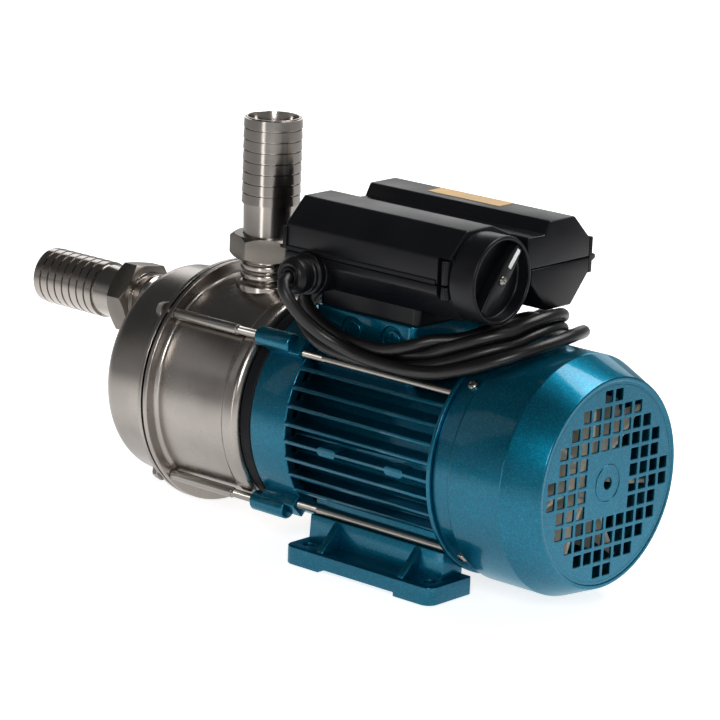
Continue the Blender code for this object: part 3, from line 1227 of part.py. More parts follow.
def plug(line):
    """Moulded two-pin mains plug with its strain relief, lying on the floor behind the motor."""
    back = -PLUG_LENGTH - 0.016
    profile = [(0.0, CORD_RADIUS + 0.0008), (-0.014, CORD_RADIUS + 0.0022)]
    profile += [(-0.018, PLUG_RADIUS * 0.62), (-0.026, PLUG_RADIUS), (back, PLUG_RADIUS)]
    profile += [(back - 0.002, PLUG_RADIUS - 0.001)]
    body = solid("plug", turned(profile, PORT_STEPS), BLACK_RUBBER, line, PLUG_PLACE)
    for side in (-0.5, 0.5):
        pin = solid(f"plug_pin_{side}", rod(PLUG_PIN_RADIUS, back - 0.002 - PLUG_PIN_LENGTH, back + 0.002, ROD_STEPS),
                    None, line, (PLUG_PLACE[0], PLUG_PLACE[1], PLUG_PLACE[2] + side * PLUG_PIN_PITCH))
        cut(body, pin, "UNION")


def main():
    """Build the pump from the suction end to the fan end."""
    clear_scene()
    line = empty("shaft_line", (-SUCTION_TIP / 2, 0.0, SHAFT_HEIGHT))
    rotor = empty("rotor_axis", parent=line)
    front_shell(line)
    shell_gasket(line)
    rear_shell(line)
    ports(line)
    studs(line)
    back_plate(line)
    seal(line, rotor)
    impeller(rotor)
    shaft_nut(rotor)
    port_plate(line)
    shaft(rotor)
    rotor_core(rotor)
    fan(rotor)
    adapter_ring(line)
    adapter(line)
    motor_bolts(line)
    bearing("front_bearing", line, FRONT_BEARING_FRONT)
    bearing("rear_bearing", line, REAR_BEARING_FRONT)
    stator(line)
    motor_housing(line)
    foot("near_foot", line, -1)
    foot("far_foot", line, 1)
    end_shield(line)
    fan_cover(line)
    box_base(line)
    box_lid(line)
    box_latch(line)
    switch_drum(line)
    switch_body(line)
    pivot = empty("switch_axis", (0.0, -BAY_OFFSET, SWITCH_HEIGHT), parent=line)
    switch_lever(pivot)
    capacitor(line)
    terminal_block(line)
    cable_gland(line)
    cord(line)
    bpy.context.view_layer.update()


main()
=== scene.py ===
"""Looks of the transfer pump: finishes, fine surfaces, the mains cord and the photographic stage.

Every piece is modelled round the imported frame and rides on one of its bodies. Places are given
from the shaft line: x is zero at the fan cover's end and runs negative towards the pump, y is
negative on the near side, and z is height above the shaft.
"""
import json
import logging
import math
from dataclasses import dataclass, field
from enum import Enum

import bpy
import numpy as np
from mathutils import Matrix, Vector


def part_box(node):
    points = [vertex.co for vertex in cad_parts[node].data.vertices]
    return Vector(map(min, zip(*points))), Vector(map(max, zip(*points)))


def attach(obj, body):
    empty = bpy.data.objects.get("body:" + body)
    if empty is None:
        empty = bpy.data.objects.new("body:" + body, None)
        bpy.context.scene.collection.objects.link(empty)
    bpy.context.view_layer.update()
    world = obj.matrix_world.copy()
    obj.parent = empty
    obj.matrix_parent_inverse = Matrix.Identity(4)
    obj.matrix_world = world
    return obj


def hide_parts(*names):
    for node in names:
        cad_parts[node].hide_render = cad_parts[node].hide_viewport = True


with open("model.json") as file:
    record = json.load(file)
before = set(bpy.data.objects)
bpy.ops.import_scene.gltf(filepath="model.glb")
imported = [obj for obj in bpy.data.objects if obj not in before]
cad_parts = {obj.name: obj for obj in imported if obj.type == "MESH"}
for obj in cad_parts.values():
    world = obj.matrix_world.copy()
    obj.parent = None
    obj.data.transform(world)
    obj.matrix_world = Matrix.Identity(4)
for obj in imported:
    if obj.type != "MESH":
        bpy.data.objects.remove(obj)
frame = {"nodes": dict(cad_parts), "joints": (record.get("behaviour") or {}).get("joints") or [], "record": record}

log = logging.getLogger("transfer_pump")

Point = tuple[float, float, float]
Profile = list[tuple[float, float, float]]
Outline = list[tuple[float, float]]
Piece = bpy.types.Object
Socket = bpy.types.NodeSocket

SHAFT_Z = next(j["pos_m"][2] for j in frame["joints"] if j["name"] == "rotor_spin")
COVER_END_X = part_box("fan_cover")[1].x
SWITCH_Z = next(j["pos_m"][2] for j in frame["joints"] if j["name"] == "switch_turn") - SHAFT_Z


class Axis(Enum):
    """Direction in which a turned piece's stations run."""

    FAN = (1.0, 0.0, 0.0)
    SUCTION = (-1.0, 0.0, 0.0)
    NEAR = (0.0, -1.0, 0.0)
    UP = (0.0, 0.0, 1.0)


ALONG = Vector((1.0, 0.0, 0.0))
ACROSS = Vector((0.0, 1.0, 0.0))
UPWARD = Vector((0.0, 0.0, 1.0))


class Body(Enum):
    """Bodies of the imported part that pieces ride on."""

    PUMP = "pump"
    ROTOR = "rotor"
    SWITCH = "switch"


def at(x: float, y: float, z: float) -> Vector:
    """Place a point given from the shaft line in the frame.

    Args:
        x: Distance from the cover's end, negative towards the pump.
        y: Distance across, negative on the near side.
        z: Height above the shaft.

    Returns:
        The point in the frame.
    """
    return Vector((COVER_END_X + x, y, SHAFT_Z + z))


def fillet(corner: Vector, before: Vector, after: Vector, radius: float, steps: int) -> list[Vector]:
    """Round one corner of an outline.

    Args:
        corner: The sharp corner.
        before: The point before it.
        after: The point after it.
        radius: Radius of the rounding.
        steps: Segments along the rounding.

    Returns:
        The points that take the corner's place.
    """
    first = (before - corner)
    second = (after - corner)
    reach_limit = 0.49 * min(first.length, second.length)
    first.normalize()
    second.normalize()
    opening = math.acos(max(-1.0, min(1.0, first.dot(second))))
    if radius <= 0.0 or opening > math.radians(176) or opening < math.radians(3):
        return [corner]
    reach = min(radius / math.tan(opening / 2), reach_limit)
    radius = reach * math.tan(opening / 2)
    centre = corner + (first + second).normalized() * (radius / math.sin(opening / 2))
    start = corner + first * reach - centre
    end = corner + second * reach - centre
    sweep = math.pi - opening
    turn = math.copysign(sweep, start.x * end.y - start.y * end.x)
    points = []
    for step in range(steps + 1):
        angle = turn * step / steps
        x = start.x * math.cos(angle) - start.y * math.sin(angle)
        y = start.x * math.sin(angle) + start.y * math.cos(angle)
        points.append(Vector((centre.x + x, centre.y + y)))
    return points


def rounded(points: Profile, closed: bool, steps: int = 4) -> Outline:
    """Round the corners of a profile.

    Args:
        points: (first, second, radius) for each corner.
        closed: Whether the last corner joins the first.
        steps: Segments in each rounding.

    Returns:
        The outline with its corners rounded.
    """
    places = [Vector(point[:2]) for point in points]
    result = []
    for index, place in enumerate(places):
        if not closed and index in (0, len(places) - 1):
            result.append(place)
            continue
        after = places[(index + 1) % len(places)]
        result += fillet(place, places[index - 1], after, points[index][2], steps)
    return [(place.x, place.y) for place in result]


class Bench:
    """Models meshes with Blender's own operators, as they are made by hand."""

    @staticmethod
    def deselect() -> None:
        """Leave nothing selected, because an operator acts on all that is."""
        if bpy.context.object and bpy.context.object.mode != "OBJECT":
            bpy.ops.object.mode_set(mode="OBJECT")
        bpy.ops.object.select_all(action="DESELECT")

    @staticmethod
    def pick(piece: Piece, *others: Piece) -> None:
        """Select pieces and make the first one active.

        Args:
            piece: Piece that becomes active.
            *others: More pieces to select.
        """
        Bench.deselect()
        for item in (piece, *others):
            item.select_set(True)
        bpy.context.view_layer.objects.active = piece

    @staticmethod
    def point(name: str, place: Vector) -> Piece:
        """Start a piece as a single point in edit mode.

        Args:
            name: Name of the piece.
            place: Where the point is.

        Returns:
            The new object, in edit mode with its point selected.
        """
        Bench.deselect()
        bpy.ops.mesh.primitive_plane_add(size=0.001, location=(0.0, 0.0, 0.0))
        piece = bpy.context.object
        piece.name = name
        piece.data.name = name
        bpy.ops.object.mode_set(mode="EDIT")
        bpy.ops.mesh.select_all(action="SELECT")
        bpy.ops.mesh.merge(type="CENTER")
        bpy.ops.transform.translate(value=place)
        return piece

    @staticmethod
    def draw(name: str, places: list[Vector], closed: bool) -> Piece:
        """Draw a line of edges by extruding a point from place to place.

        Args:
            name: Name of the piece.
            places: Where the line goes.
            closed: Whether its end joins its start.

        Returns:
            The new object, in edit mode with the whole line selected.
        """
        piece = Bench.point(name, places[0])
        for start, end in zip(places, places[1:]):
            bpy.ops.mesh.extrude_region_move(TRANSFORM_OT_translate={"value": end - start})
        if closed:
            bpy.ops.object.mode_set(mode="OBJECT")
            for vertex in piece.data.vertices:
                vertex.select = vertex.index in (0, len(places) - 1)
            bpy.ops.object.mode_set(mode="EDIT")
            bpy.ops.mesh.edge_face_add()
        bpy.ops.mesh.select_all(action="SELECT")
        return piece

    @staticmethod
    def turned(name: str, profile: Outline, origin: Vector, axis: Axis, closed: bool = True,
               steps: int = 96) -> Piece:
        """Spin a profile round an axis.

        Args:
            name: Name of the piece.
            profile: (station, radius) points.
            origin: Where station zero is on the axis.
            axis: Direction of the stations.
            closed: Whether the profile is a closed loop, for a ring-shaped piece.
            steps: Segments round the axis.

        Returns:
            The finished shell, in object mode.
        """
        along = Vector(axis.value)
        outward = UPWARD if abs(along.z) < 0.5 else ALONG
        places = [origin + along * station + outward * radius for station, radius in profile]
        piece = Bench.draw(name, places, closed)
        bpy.ops.mesh.spin(steps=steps, angle=math.tau, center=origin, axis=along)
        bpy.ops.mesh.select_all(action="SELECT")
        bpy.ops.mesh.remove_doubles(threshold=0.000002)
        bpy.ops.mesh.normals_make_consistent(inside=False)
        bpy.ops.object.mode_set(mode="OBJECT")
        return piece

    @staticmethod
    def prism(name: str, outline: Outline, place: Vector, across: Vector, upward: Vector,
              reach: Vector) -> Piece:
        """Fill an outline and extrude it.

        Args:
            name: Name of the piece.
            outline: Closed outline as (first, second) points.
            place: Origin of the outline.
            across: Direction of the outline's first value.
            upward: Direction of the outline's second value.
            reach: The extrusion.

        Returns:
            The finished prism, in object mode.
        """
        places = [place + across * first + upward * second for first, second in outline]
        piece = Bench.draw(name, places, True)
        bpy.ops.mesh.edge_face_add()
        bpy.ops.mesh.extrude_region_move(TRANSFORM_OT_translate={"value": reach})
        bpy.ops.mesh.select_all(action="SELECT")
        bpy.ops.mesh.normals_make_consistent(inside=False)
        bpy.ops.object.mode_set(mode="OBJECT")
        return piece

    @staticmethod
    def block(name: str, low: Vector, high: Vector) -> Piece:
        """Add a block between two corners.

        Args:
            name: Name of the block.
            low: Its lowest corner.
            high: Its highest corner.

        Returns:
            The block.
        """
        Bench.deselect()
        bpy.ops.mesh.primitive_cube_add(size=1.0, location=(low + high) / 2, scale=high - low)
        piece = bpy.context.object
        piece.name = name
        piece.data.name = name
        Bench.settle(piece)
        return piece

    @staticmethod
    def settle(piece: Piece) -> None:
        """Apply a piece's place, turn and scale to its mesh."""
        Bench.pick(piece)
        bpy.ops.object.transform_apply(location=True, rotation=True, scale=True)

    @staticmethod
    def bevel(piece: Piece, width: float, segments: int = 2, angle: float = 30.0) -> None:
        """Round a piece's sharp edges with a Bevel modifier, and apply it.

        Args:
            piece: Piece to round.
            width: Width of the bevel.
            segments: Steps across it.
            angle: Edges sharper than this are rounded.
        """
        Bench.pick(piece)
        modifier = piece.modifiers.new("soft_edges", "BEVEL")
        modifier.width = width
        modifier.segments = segments
        modifier.limit_method = "ANGLE"
        modifier.angle_limit = math.radians(angle)
        modifier.harden_normals = False
        bpy.ops.object.modifier_apply(modifier=modifier.name)

    @staticmethod
    def combine(piece: Piece, tool: Piece, operation: str = "DIFFERENCE") -> None:
        """Cut a piece with a tool, or weld it on, and remove the tool.

        Args:
            piece: Piece that is kept.
            tool: Piece that is used up.
            operation: Name of the Boolean operation.
        """
        Bench.pick(piece)
        modifier = piece.modifiers.new("cut", "BOOLEAN")
        modifier.operation = operation
        modifier.solver = "EXACT"
        modifier.object = tool
        bpy.ops.object.modifier_apply(modifier=modifier.name)
        bpy.data.objects.remove(tool, do_unlink=True)

    @staticmethod
    def copied(piece: Piece, name: str, move: Vector | Point = (0.0, 0.0, 0.0)) -> Piece:
        """Copy a piece with its own mesh and move the copy.

        Args:
            piece: Piece to copy.
            name: The copy's name.
            move: Step from the piece to its copy, none by default.

        Returns:
            The copy.
        """
        Bench.pick(piece)
        bpy.ops.object.duplicate(linked=False)
        twin = bpy.context.object
        twin.name = name
        twin.data.name = name
        bpy.ops.transform.translate(value=move)
        Bench.settle(twin)
        return twin

    @staticmethod
    def swung(piece: Piece, degrees: float, axis: str, centre: Vector) -> None:
        """Turn a piece about an axis through a point, and apply it.

        Args:
            piece: Piece to turn.
            degrees: How far.
            axis: The axis's letter.
            centre: A point on the axis.
        """
        Bench.pick(piece)
        turn = Matrix.Rotation(math.radians(degrees), 4, axis)
        about = Matrix.Translation(centre) @ turn @ Matrix.Translation(-centre)
        piece.matrix_world = about @ piece.matrix_world
        Bench.settle(piece)

    @staticmethod
    def joined(name: str, pieces: list[Piece]) -> Piece:
        """Join several shells into one piece.

        Args:
            name: Name of the whole.
            pieces: Shells to join.

        Returns:
            The whole.
        """
        Bench.pick(pieces[0], *pieces[1:])
        bpy.ops.object.join()
        pieces[0].name = name
        pieces[0].data.name = name
        return pieces[0]

    @staticmethod
    def smooth(piece: Piece, degrees: float = 35.0) -> None:
        """Shade a piece smooth across all but its sharp edges."""
        Bench.pick(piece)
        bpy.ops.object.shade_smooth_by_angle(angle=math.radians(degrees))


class Nodes:
    """Short names for the shader nodes that the finishes share."""

    def __init__(self, name: str) -> None:
        """Start a material with its Principled shader.

        Args:
            name: The material's name.
        """
        self.material = bpy.data.materials.new(name)
        self.material.use_nodes = True
        self.tree = self.material.node_tree
        self.shader = self.tree.nodes["Principled BSDF"]
        self.coordinate = self.tree.nodes.new("ShaderNodeTexCoord")

    def link(self, source: Socket, target: Socket) -> None:
        """Join two sockets."""
        self.tree.links.new(source, target)

    def noise(self, scale: float, detail: float, stretch: Point = (1.0, 1.0, 1.0),
              roughness: float = 0.5) -> Socket:
        """Add a noise pattern on object coordinates and return its value.

        Args:
            scale: Scale of the pattern.
            detail: Its octaves.
            stretch: Its scale along each axis.
            roughness: Share of the fine octaves.

        Returns:
            The pattern's value.
        """
        mapping = self.tree.nodes.new("ShaderNodeMapping")
        mapping.inputs["Scale"].default_value = stretch
        texture = self.tree.nodes.new("ShaderNodeTexNoise")
        texture.inputs["Scale"].default_value = scale
        texture.inputs["Detail"].default_value = detail
        texture.inputs["Roughness"].default_value = roughness
        self.link(self.coordinate.outputs["Object"], mapping.inputs["Vector"])
        self.link(mapping.outputs["Vector"], texture.inputs["Vector"])
        return texture.outputs["Fac"]

    def speckle(self, scale: float) -> Socket:
        """Add a cell pattern on object coordinates and return its random colour.

        Args:
            scale: Scale of the cells.

        Returns:
            The cells' colour.
        """
        texture = self.tree.nodes.new("ShaderNodeTexVoronoi")
        texture.inputs["Scale"].default_value = scale
        self.link(self.coordinate.outputs["Object"], texture.inputs["Vector"])
        return texture.outputs["Color"]

    def ranged(self, value: Socket, low: float, high: float, start: float = 0.3, end: float = 0.7) -> Socket:
        """Map a pattern's middle range to a range of values.

        Args:
            value: Pattern to map.
            low: Result at the start.
            high: Result at the end.
            start: The pattern's value at the start.
            end: Its value at the end.

        Returns:
            The mapped value.
        """
        node = self.tree.nodes.new("ShaderNodeMapRange")
        node.inputs["From Min"].default_value = start
        node.inputs["From Max"].default_value = end
        node.inputs["To Min"].default_value = low
        node.inputs["To Max"].default_value = high
        self.link(value, node.inputs["Value"])
        return node.outputs["Result"]

    def ramp(self, value: Socket, stops: list[tuple[float, Point]]) -> Socket:
        """Map a pattern to colours at given stops.

        Args:
            value: Pattern to map.
            stops: Places on the ramp and their colours.

        Returns:
            The colour.
        """
        node = self.tree.nodes.new("ShaderNodeValToRGB")
        elements = node.color_ramp.elements
        while len(elements) < len(stops):
            elements.new(0.5)
        for element, (position, colour) in zip(elements, stops):
            element.position = position
            element.color = (*colour, 1.0)
        self.link(value, node.inputs["Fac"])
        return node.outputs["Color"]

    def bump(self, height: Socket, distance: float, strength: float = 1.0,
             under: Socket | None = None) -> Socket:
        """Turn a height pattern into a normal.

        Args:
            height: Height pattern.
            distance: Its height in metres.
            strength: Its share.
            under: Normal that it is laid on.

        Returns:
            The normal.
        """
        node = self.tree.nodes.new("ShaderNodeBump")
        node.inputs["Strength"].default_value = strength
        node.inputs["Distance"].default_value = distance
        self.link(height, node.inputs["Height"])
        if under:
            self.link(under, node.inputs["Normal"])
        return node.outputs["Normal"]

    def set(self, **values: float | Point) -> None:
        """Set the shader's own sockets; an underscore in a name stands for a space.

        Args:
            **values: Socket names and their values.
        """
        for name, value in values.items():
            socket = self.shader.inputs[name.replace("_", " ")]
            socket.default_value = (*value, 1.0) if isinstance(value, tuple) else value


@dataclass(frozen=True)
class SteelFinish:
    """Bare metal with fine grain, cloudy polish and small marks."""

    name: str
    colour: Point
    roughness: float
    grain: float = 0.000006
    grain_scale: float = 900.0
    stretch: Point = (1.0, 1.0, 1.0)
    mottle: float = 0.08

    def material(self) -> bpy.types.Material:
        """Build the node material.

        Returns:
            The material.
        """
        nodes = Nodes(self.name)
        cloud = nodes.noise(26.0, 4.0)
        streak = nodes.noise(self.grain_scale, 3.0, self.stretch)
        dark = tuple(channel * (1.0 - self.mottle * 1.6) for channel in self.colour)
        light = tuple(min(channel * (1.0 + self.mottle), 1.0) for channel in self.colour)
        colour = nodes.ramp(cloud, [(0.35, dark), (0.65, light)])
        nodes.link(colour, nodes.shader.inputs["Base Color"])
        rough = nodes.ranged(cloud, self.roughness * 0.85, self.roughness * 1.2)
        nodes.link(rough, nodes.shader.inputs["Roughness"])
        waves = nodes.bump(nodes.noise(16.0, 2.0), 0.0006, 0.12)
        nodes.link(nodes.bump(streak, self.grain, 0.35, waves), nodes.shader.inputs["Normal"])
        nodes.set(Metallic=1.0)
        return nodes.material


@dataclass(frozen=True)
class PaintFinish:
    """Metallic paint: flakes under a clear coat, with orange peel."""

    name: str
    colour: Point
    shadow: Point
    flake: Point

    def material(self) -> bpy.types.Material:
        """Build the node material.

        Returns:
            The material.
        """
        nodes = Nodes(self.name)
        flakes = nodes.speckle(1900.0)
        colour = nodes.ramp(flakes, [(0.20, self.shadow), (0.62, self.colour), (0.95, self.flake)])
        nodes.link(colour, nodes.shader.inputs["Base Color"])
        peel = nodes.noise(420.0, 2.0)
        nodes.link(nodes.ranged(nodes.noise(30.0, 3.0), 0.30, 0.40), nodes.shader.inputs["Roughness"])
        nodes.link(nodes.bump(peel, 0.00005, 0.5), nodes.shader.inputs["Normal"])
        nodes.set(Metallic=0.85, Specular_Tint=(0.30, 0.80, 0.95), Coat_Weight=0.50, Coat_Roughness=0.09)
        return nodes.material


@dataclass(frozen=True)
class PlasticFinish:
    """Moulded plastic or rubber with a spark-eroded texture and uneven gloss."""

    name: str
    colour: Point
    roughness: float
    texture: float = 0.00004
    texture_scale: float = 1100.0
    specular: float = 0.5

    def material(self) -> bpy.types.Material:
        """Build the node material.

        Returns:
            The material.
        """
        nodes = Nodes(self.name)
        cloud = nodes.noise(40.0, 4.0)
        dark = tuple(channel * 0.85 for channel in self.colour)
        light = tuple(min(channel * 1.2, 1.0) for channel in self.colour)
        nodes.link(nodes.ramp(cloud, [(0.3, dark), (0.7, light)]), nodes.shader.inputs["Base Color"])
        nodes.link(nodes.ranged(cloud, self.roughness * 0.88, self.roughness * 1.15),
                   nodes.shader.inputs["Roughness"])
        fine = nodes.noise(self.texture_scale, 2.0)
        nodes.link(nodes.bump(fine, self.texture, 0.7), nodes.shader.inputs["Normal"])
        nodes.set(Specular_IOR_Level=self.specular)
        return nodes.material


class Palette:
    """Every finish on the pump, each built once."""

    def __init__(self) -> None:
        """Build the materials."""
        self.shell = SteelFinish("satin_stainless", (0.37, 0.34, 0.315), 0.25).material()
        self.port = SteelFinish("polished_port_steel", (0.42, 0.385, 0.355), 0.17).material()
        self.nut = SteelFinish("turned_nut_steel", (0.20, 0.180, 0.160), 0.36, grain=0.00005,
                               grain_scale=700.0, stretch=(1.0, 1.0, 0.12), mottle=0.14).material()
        self.zinc = SteelFinish("bright_zinc_plate", (0.36, 0.34, 0.31), 0.30).material()
        self.shaft = SteelFinish("ground_shaft_steel", (0.45, 0.45, 0.46), 0.28).material()
        self.bronze = SteelFinish("cast_bronze", (0.55, 0.36, 0.18), 0.36).material()
        self.copper = SteelFinish("varnished_copper", (0.60, 0.24, 0.10), 0.40).material()
        self.lamination = SteelFinish("lamination_steel", (0.30, 0.30, 0.32), 0.45).material()
        self.fan = PlasticFinish("silver_fan", (0.86, 0.80, 0.69), 0.40).material()
        self.teal = PaintFinish("teal_flake_paint", (0.000, 0.122, 0.200), (0.000, 0.090, 0.158),
                                (0.002, 0.190, 0.285)).material()
        self.box = PlasticFinish("black_box_moulding", (0.0042, 0.0045, 0.0062), 0.34,
                                 specular=0.24).material()
        self.ring = PlasticFinish("black_ring_moulding", (0.0030, 0.0042, 0.0062), 0.55,
                                  specular=0.20).material()
        self.cord = PlasticFinish("cord_jacket", (0.0055, 0.0050, 0.0050), 0.36, specular=0.45).material()
        self.gland = PlasticFinish("gland_moulding", (0.0040, 0.0040, 0.0045), 0.32,
                                   specular=0.28).material()
        self.seal = PlasticFinish("seal_rubber", (0.030, 0.030, 0.032), 0.70).material()
        self.white = PlasticFinish("white_moulding", (0.78, 0.78, 0.76), 0.40).material()
        self.ceramic = PlasticFinish("ceramic_seat", (0.80, 0.78, 0.72), 0.35).material()
        self.label = PlasticFinish("ochre_label_strip", (0.58, 0.37, 0.15), 0.45).material()


def dress(piece: Piece, finish: bpy.types.Material, body: Body, nodes: tuple[str, ...] = (),
          degrees: float = 35.0) -> Piece:
    """Give a finished piece its material, its body and the nodes it stands for.

    Args:
        piece: The piece, with its place in its mesh.
        finish: Its material.
        body: The body that it rides on.
        nodes: CAD nodes that it replaces.
        degrees: Edges sharper than this stay sharp.

    Returns:
        The same piece.
    """
    Bench.smooth(piece, degrees)
    piece.data.materials.clear()
    piece.data.materials.append(finish)
    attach(piece, body.value)
    if nodes:
        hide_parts(*nodes)
    log.info("%s: %d faces", piece.name, len(piece.data.polygons))
    return piece


@dataclass
class PumpShells:
    """Drawn stainless cups that bolt flange to flange and hold the liquid."""

    palette: "Palette"
    face: float = -0.3313
    joint: float = -0.2888
    rear_joint: float = -0.2872
    back: float = -0.2197
    front_radius: float = 0.0635
    front_corner: float = 0.0095
    barrel: float = 0.0650
    shoulder: float = 0.0661
    flange: float = 0.0730
    flange_depth: float = 0.0030
    wall: float = 0.0020
    back_opening: float = 0.0500

    def front(self) -> Piece:
        """Spin the front cup, from the middle of its face out to the flange and back inside.

        Returns:
            The cup.
        """
        lip = self.joint - self.flange_depth
        inside = self.front_radius - self.wall
        profile = [(self.face, 0.0, 0.0), (self.face, self.front_radius, self.front_corner),
                   (lip, self.front_radius, 0.0036), (lip, self.flange, 0.0009),
                   (self.joint, self.flange, 0.0005), (self.joint, inside, 0.0004),
                   (self.face + self.wall, inside, self.front_corner - self.wall),
                   (self.face + self.wall, 0.0, 0.0)]
        cup = Bench.turned("front_cup", rounded(profile, False, 7), at(0, 0, 0), Axis.FAN,
                           closed=False, steps=128)
        return dress(cup, self.palette.shell, Body.PUMP, ("front_shell",))

    def rear(self) -> Piece:
        """Spin the rear shell: flange, barrel and the polished roll at its back.

        Returns:
            The cup.
        """
        lip = self.rear_joint + self.flange_depth
        inside = self.barrel - self.wall
        profile = [(self.rear_joint, inside, 0.0004), (self.rear_joint, self.flange, 0.0005),
                   (lip, self.flange, 0.0009), (lip, self.barrel, 0.0030),
                   (self.back - 0.0120, self.barrel, 0.0040), (self.back - 0.0095, self.shoulder, 0.0030),
                   (self.back, self.shoulder, 0.0046), (self.back, self.back_opening, 0.0004),
                   (self.back - self.wall, self.back_opening, 0.0004),
                   (self.back - self.wall, inside - 0.003, 0.003), (self.back - 0.0100, inside, 0.0030)]
        shell = Bench.turned("rear_cup", rounded(profile, True, 7), at(0, 0, 0), Axis.FAN, steps=128)
        return dress(shell, self.palette.shell, Body.PUMP, ("rear_shell",))

    def build(self) -> None:
        """Build both shells."""
        self.front()
        self.rear()


@dataclass
class Port:
    """Welded socket, hexagon union nut and ribbed hose tail of one opening."""

    palette: "Palette"
    kind: str
    origin: Point
    axis: Axis
    neck: float
    hex_turn: float
    sink: float
    bore: float = 0.0135
    neck_radius: float = 0.0150
    thread: float = 0.0167
    thread_reach: float = 0.0060
    seal: float = 0.0015
    collar: float = 0.0029
    tail_radius: float = 0.0156
    tail_reach: float = 0.0700
    rib_radius: float = 0.0173
    rib_pitch: float = 0.0064
    rib_count: int = 8
    nut_flats: float = 0.0410
    nut_length: float = 0.0140
    gap: float = 0.0003

    def socket(self) -> Piece:
        """Spin the socket with its flared foot, two rolled beads and thread.

        Returns:
            The socket.
        """
        foot = self.neck_radius + 0.0042
        profile = [(-self.sink, self.bore, 0.0), (-self.sink, foot, 0.0), (0.0007, foot, 0.0008),
                   (0.0032, self.neck_radius, 0.0026)]
        for share in (0.36, 0.70):
            middle = self.neck * share
            top = self.neck_radius + 0.0017
            profile += [(middle - 0.0026, self.neck_radius, 0.0008), (middle - 0.0015, top, 0.0014),
                        (middle + 0.0015, top, 0.0014), (middle + 0.0026, self.neck_radius, 0.0008)]
        profile += [(self.neck - 0.0004, self.neck_radius, 0.0002),
                    (self.neck + self.gap, self.thread, 0.0002),
                    (self.neck + self.thread_reach, self.thread, 0.0003),
                    (self.neck + self.thread_reach, self.bore, 0.0003)]
        neck = Bench.turned(f"{self.kind}_neck", rounded(profile, True, 4), at(*self.origin), self.axis)
        return dress(neck, self.palette.port, Body.PUMP, (f"{self.kind}_socket",))

    def nut(self) -> Piece:
        """Extrude a hexagon, chamfer its corners and bore it.

        Returns:
            The nut.
        """
        start = self.neck + self.gap
        end = start + self.nut_length
        corner = self.nut_flats / 2 / math.cos(math.pi / 6)
        along = Vector(self.axis.value)
        across = ALONG if abs(along.x) < 0.5 else ACROSS
        upward = ACROSS if abs(along.x) < 0.5 else UPWARD
        turns = [math.radians(self.hex_turn + 60.0 * step) for step in range(6)]
        outline = [(corner * math.cos(turn), corner * math.sin(turn)) for turn in turns]
        place = at(*self.origin) + along * start
        nut = Bench.prism(f"{self.kind}_union", outline, place, across, upward, along * self.nut_length)
        flat = self.nut_flats / 2
        barrel = [(start - 0.001, 0.0), (start - 0.001, flat - 0.0012), (start + 0.0019, corner + 0.0004),
                  (end - 0.0024, corner + 0.0004), (end + 0.001, flat - 0.0012), (end + 0.001, 0.0)]
        Bench.combine(nut, Bench.turned("chamfer", barrel, at(*self.origin), self.axis, closed=False),
                      "INTERSECT")
        lip = self.neck + self.thread_reach + self.seal + self.collar + 3 * self.gap
        wide = self.thread + self.gap
        narrow = self.tail_radius + self.gap
        drill = [(start - 0.001, 0.0), (start - 0.001, wide), (lip, wide), (lip, narrow),
                 (end + 0.001, narrow), (end + 0.001, 0.0)]
        Bench.combine(nut, Bench.turned("drill", drill, at(*self.origin), self.axis, closed=False))
        Bench.bevel(nut, 0.00035, 2, 24.0)
        return dress(nut, self.palette.nut, Body.PUMP, (f"{self.kind}_nut",), 20.0)

    def tail(self) -> Piece:
        """Spin the hose tail with its ribs.

        Returns:
            The hose tail.
        """
        collar = self.neck + self.thread_reach + self.seal + 2 * self.gap
        tip = self.neck + self.nut_length + self.tail_reach
        profile = [(collar, self.bore, 0.0), (collar, self.thread, 0.0002),
                   (collar + self.collar, self.thread, 0.0002),
                   (collar + self.collar, self.tail_radius, 0.0002)]
        for rib in range(self.rib_count):
            start = tip - self.rib_pitch * (self.rib_count - rib)
            profile += [(start, self.rib_radius - 0.0012, 0.0), (start + 0.0003, self.rib_radius, 0.0),
                        (start + self.rib_pitch - 0.0007, self.rib_radius - 0.0003, 0.0),
                        (start + self.rib_pitch - 0.0005, self.rib_radius - 0.0012, 0.0)]
        profile += [(tip, self.rib_radius - 0.0014, 0.0003), (tip, self.bore + 0.0014, 0.0003),
                    (tip - 0.0150, self.bore, 0.0020)]
        tail = Bench.turned(f"{self.kind}_hose_tail", rounded(profile, True, 3), at(*self.origin), self.axis)
        return dress(tail, self.palette.port, Body.PUMP, (f"{self.kind}_tail",), 16.0)

    def build(self) -> None:
        """Build the port from the shell outwards."""
        self.socket()
        self.nut()
        self.tail()


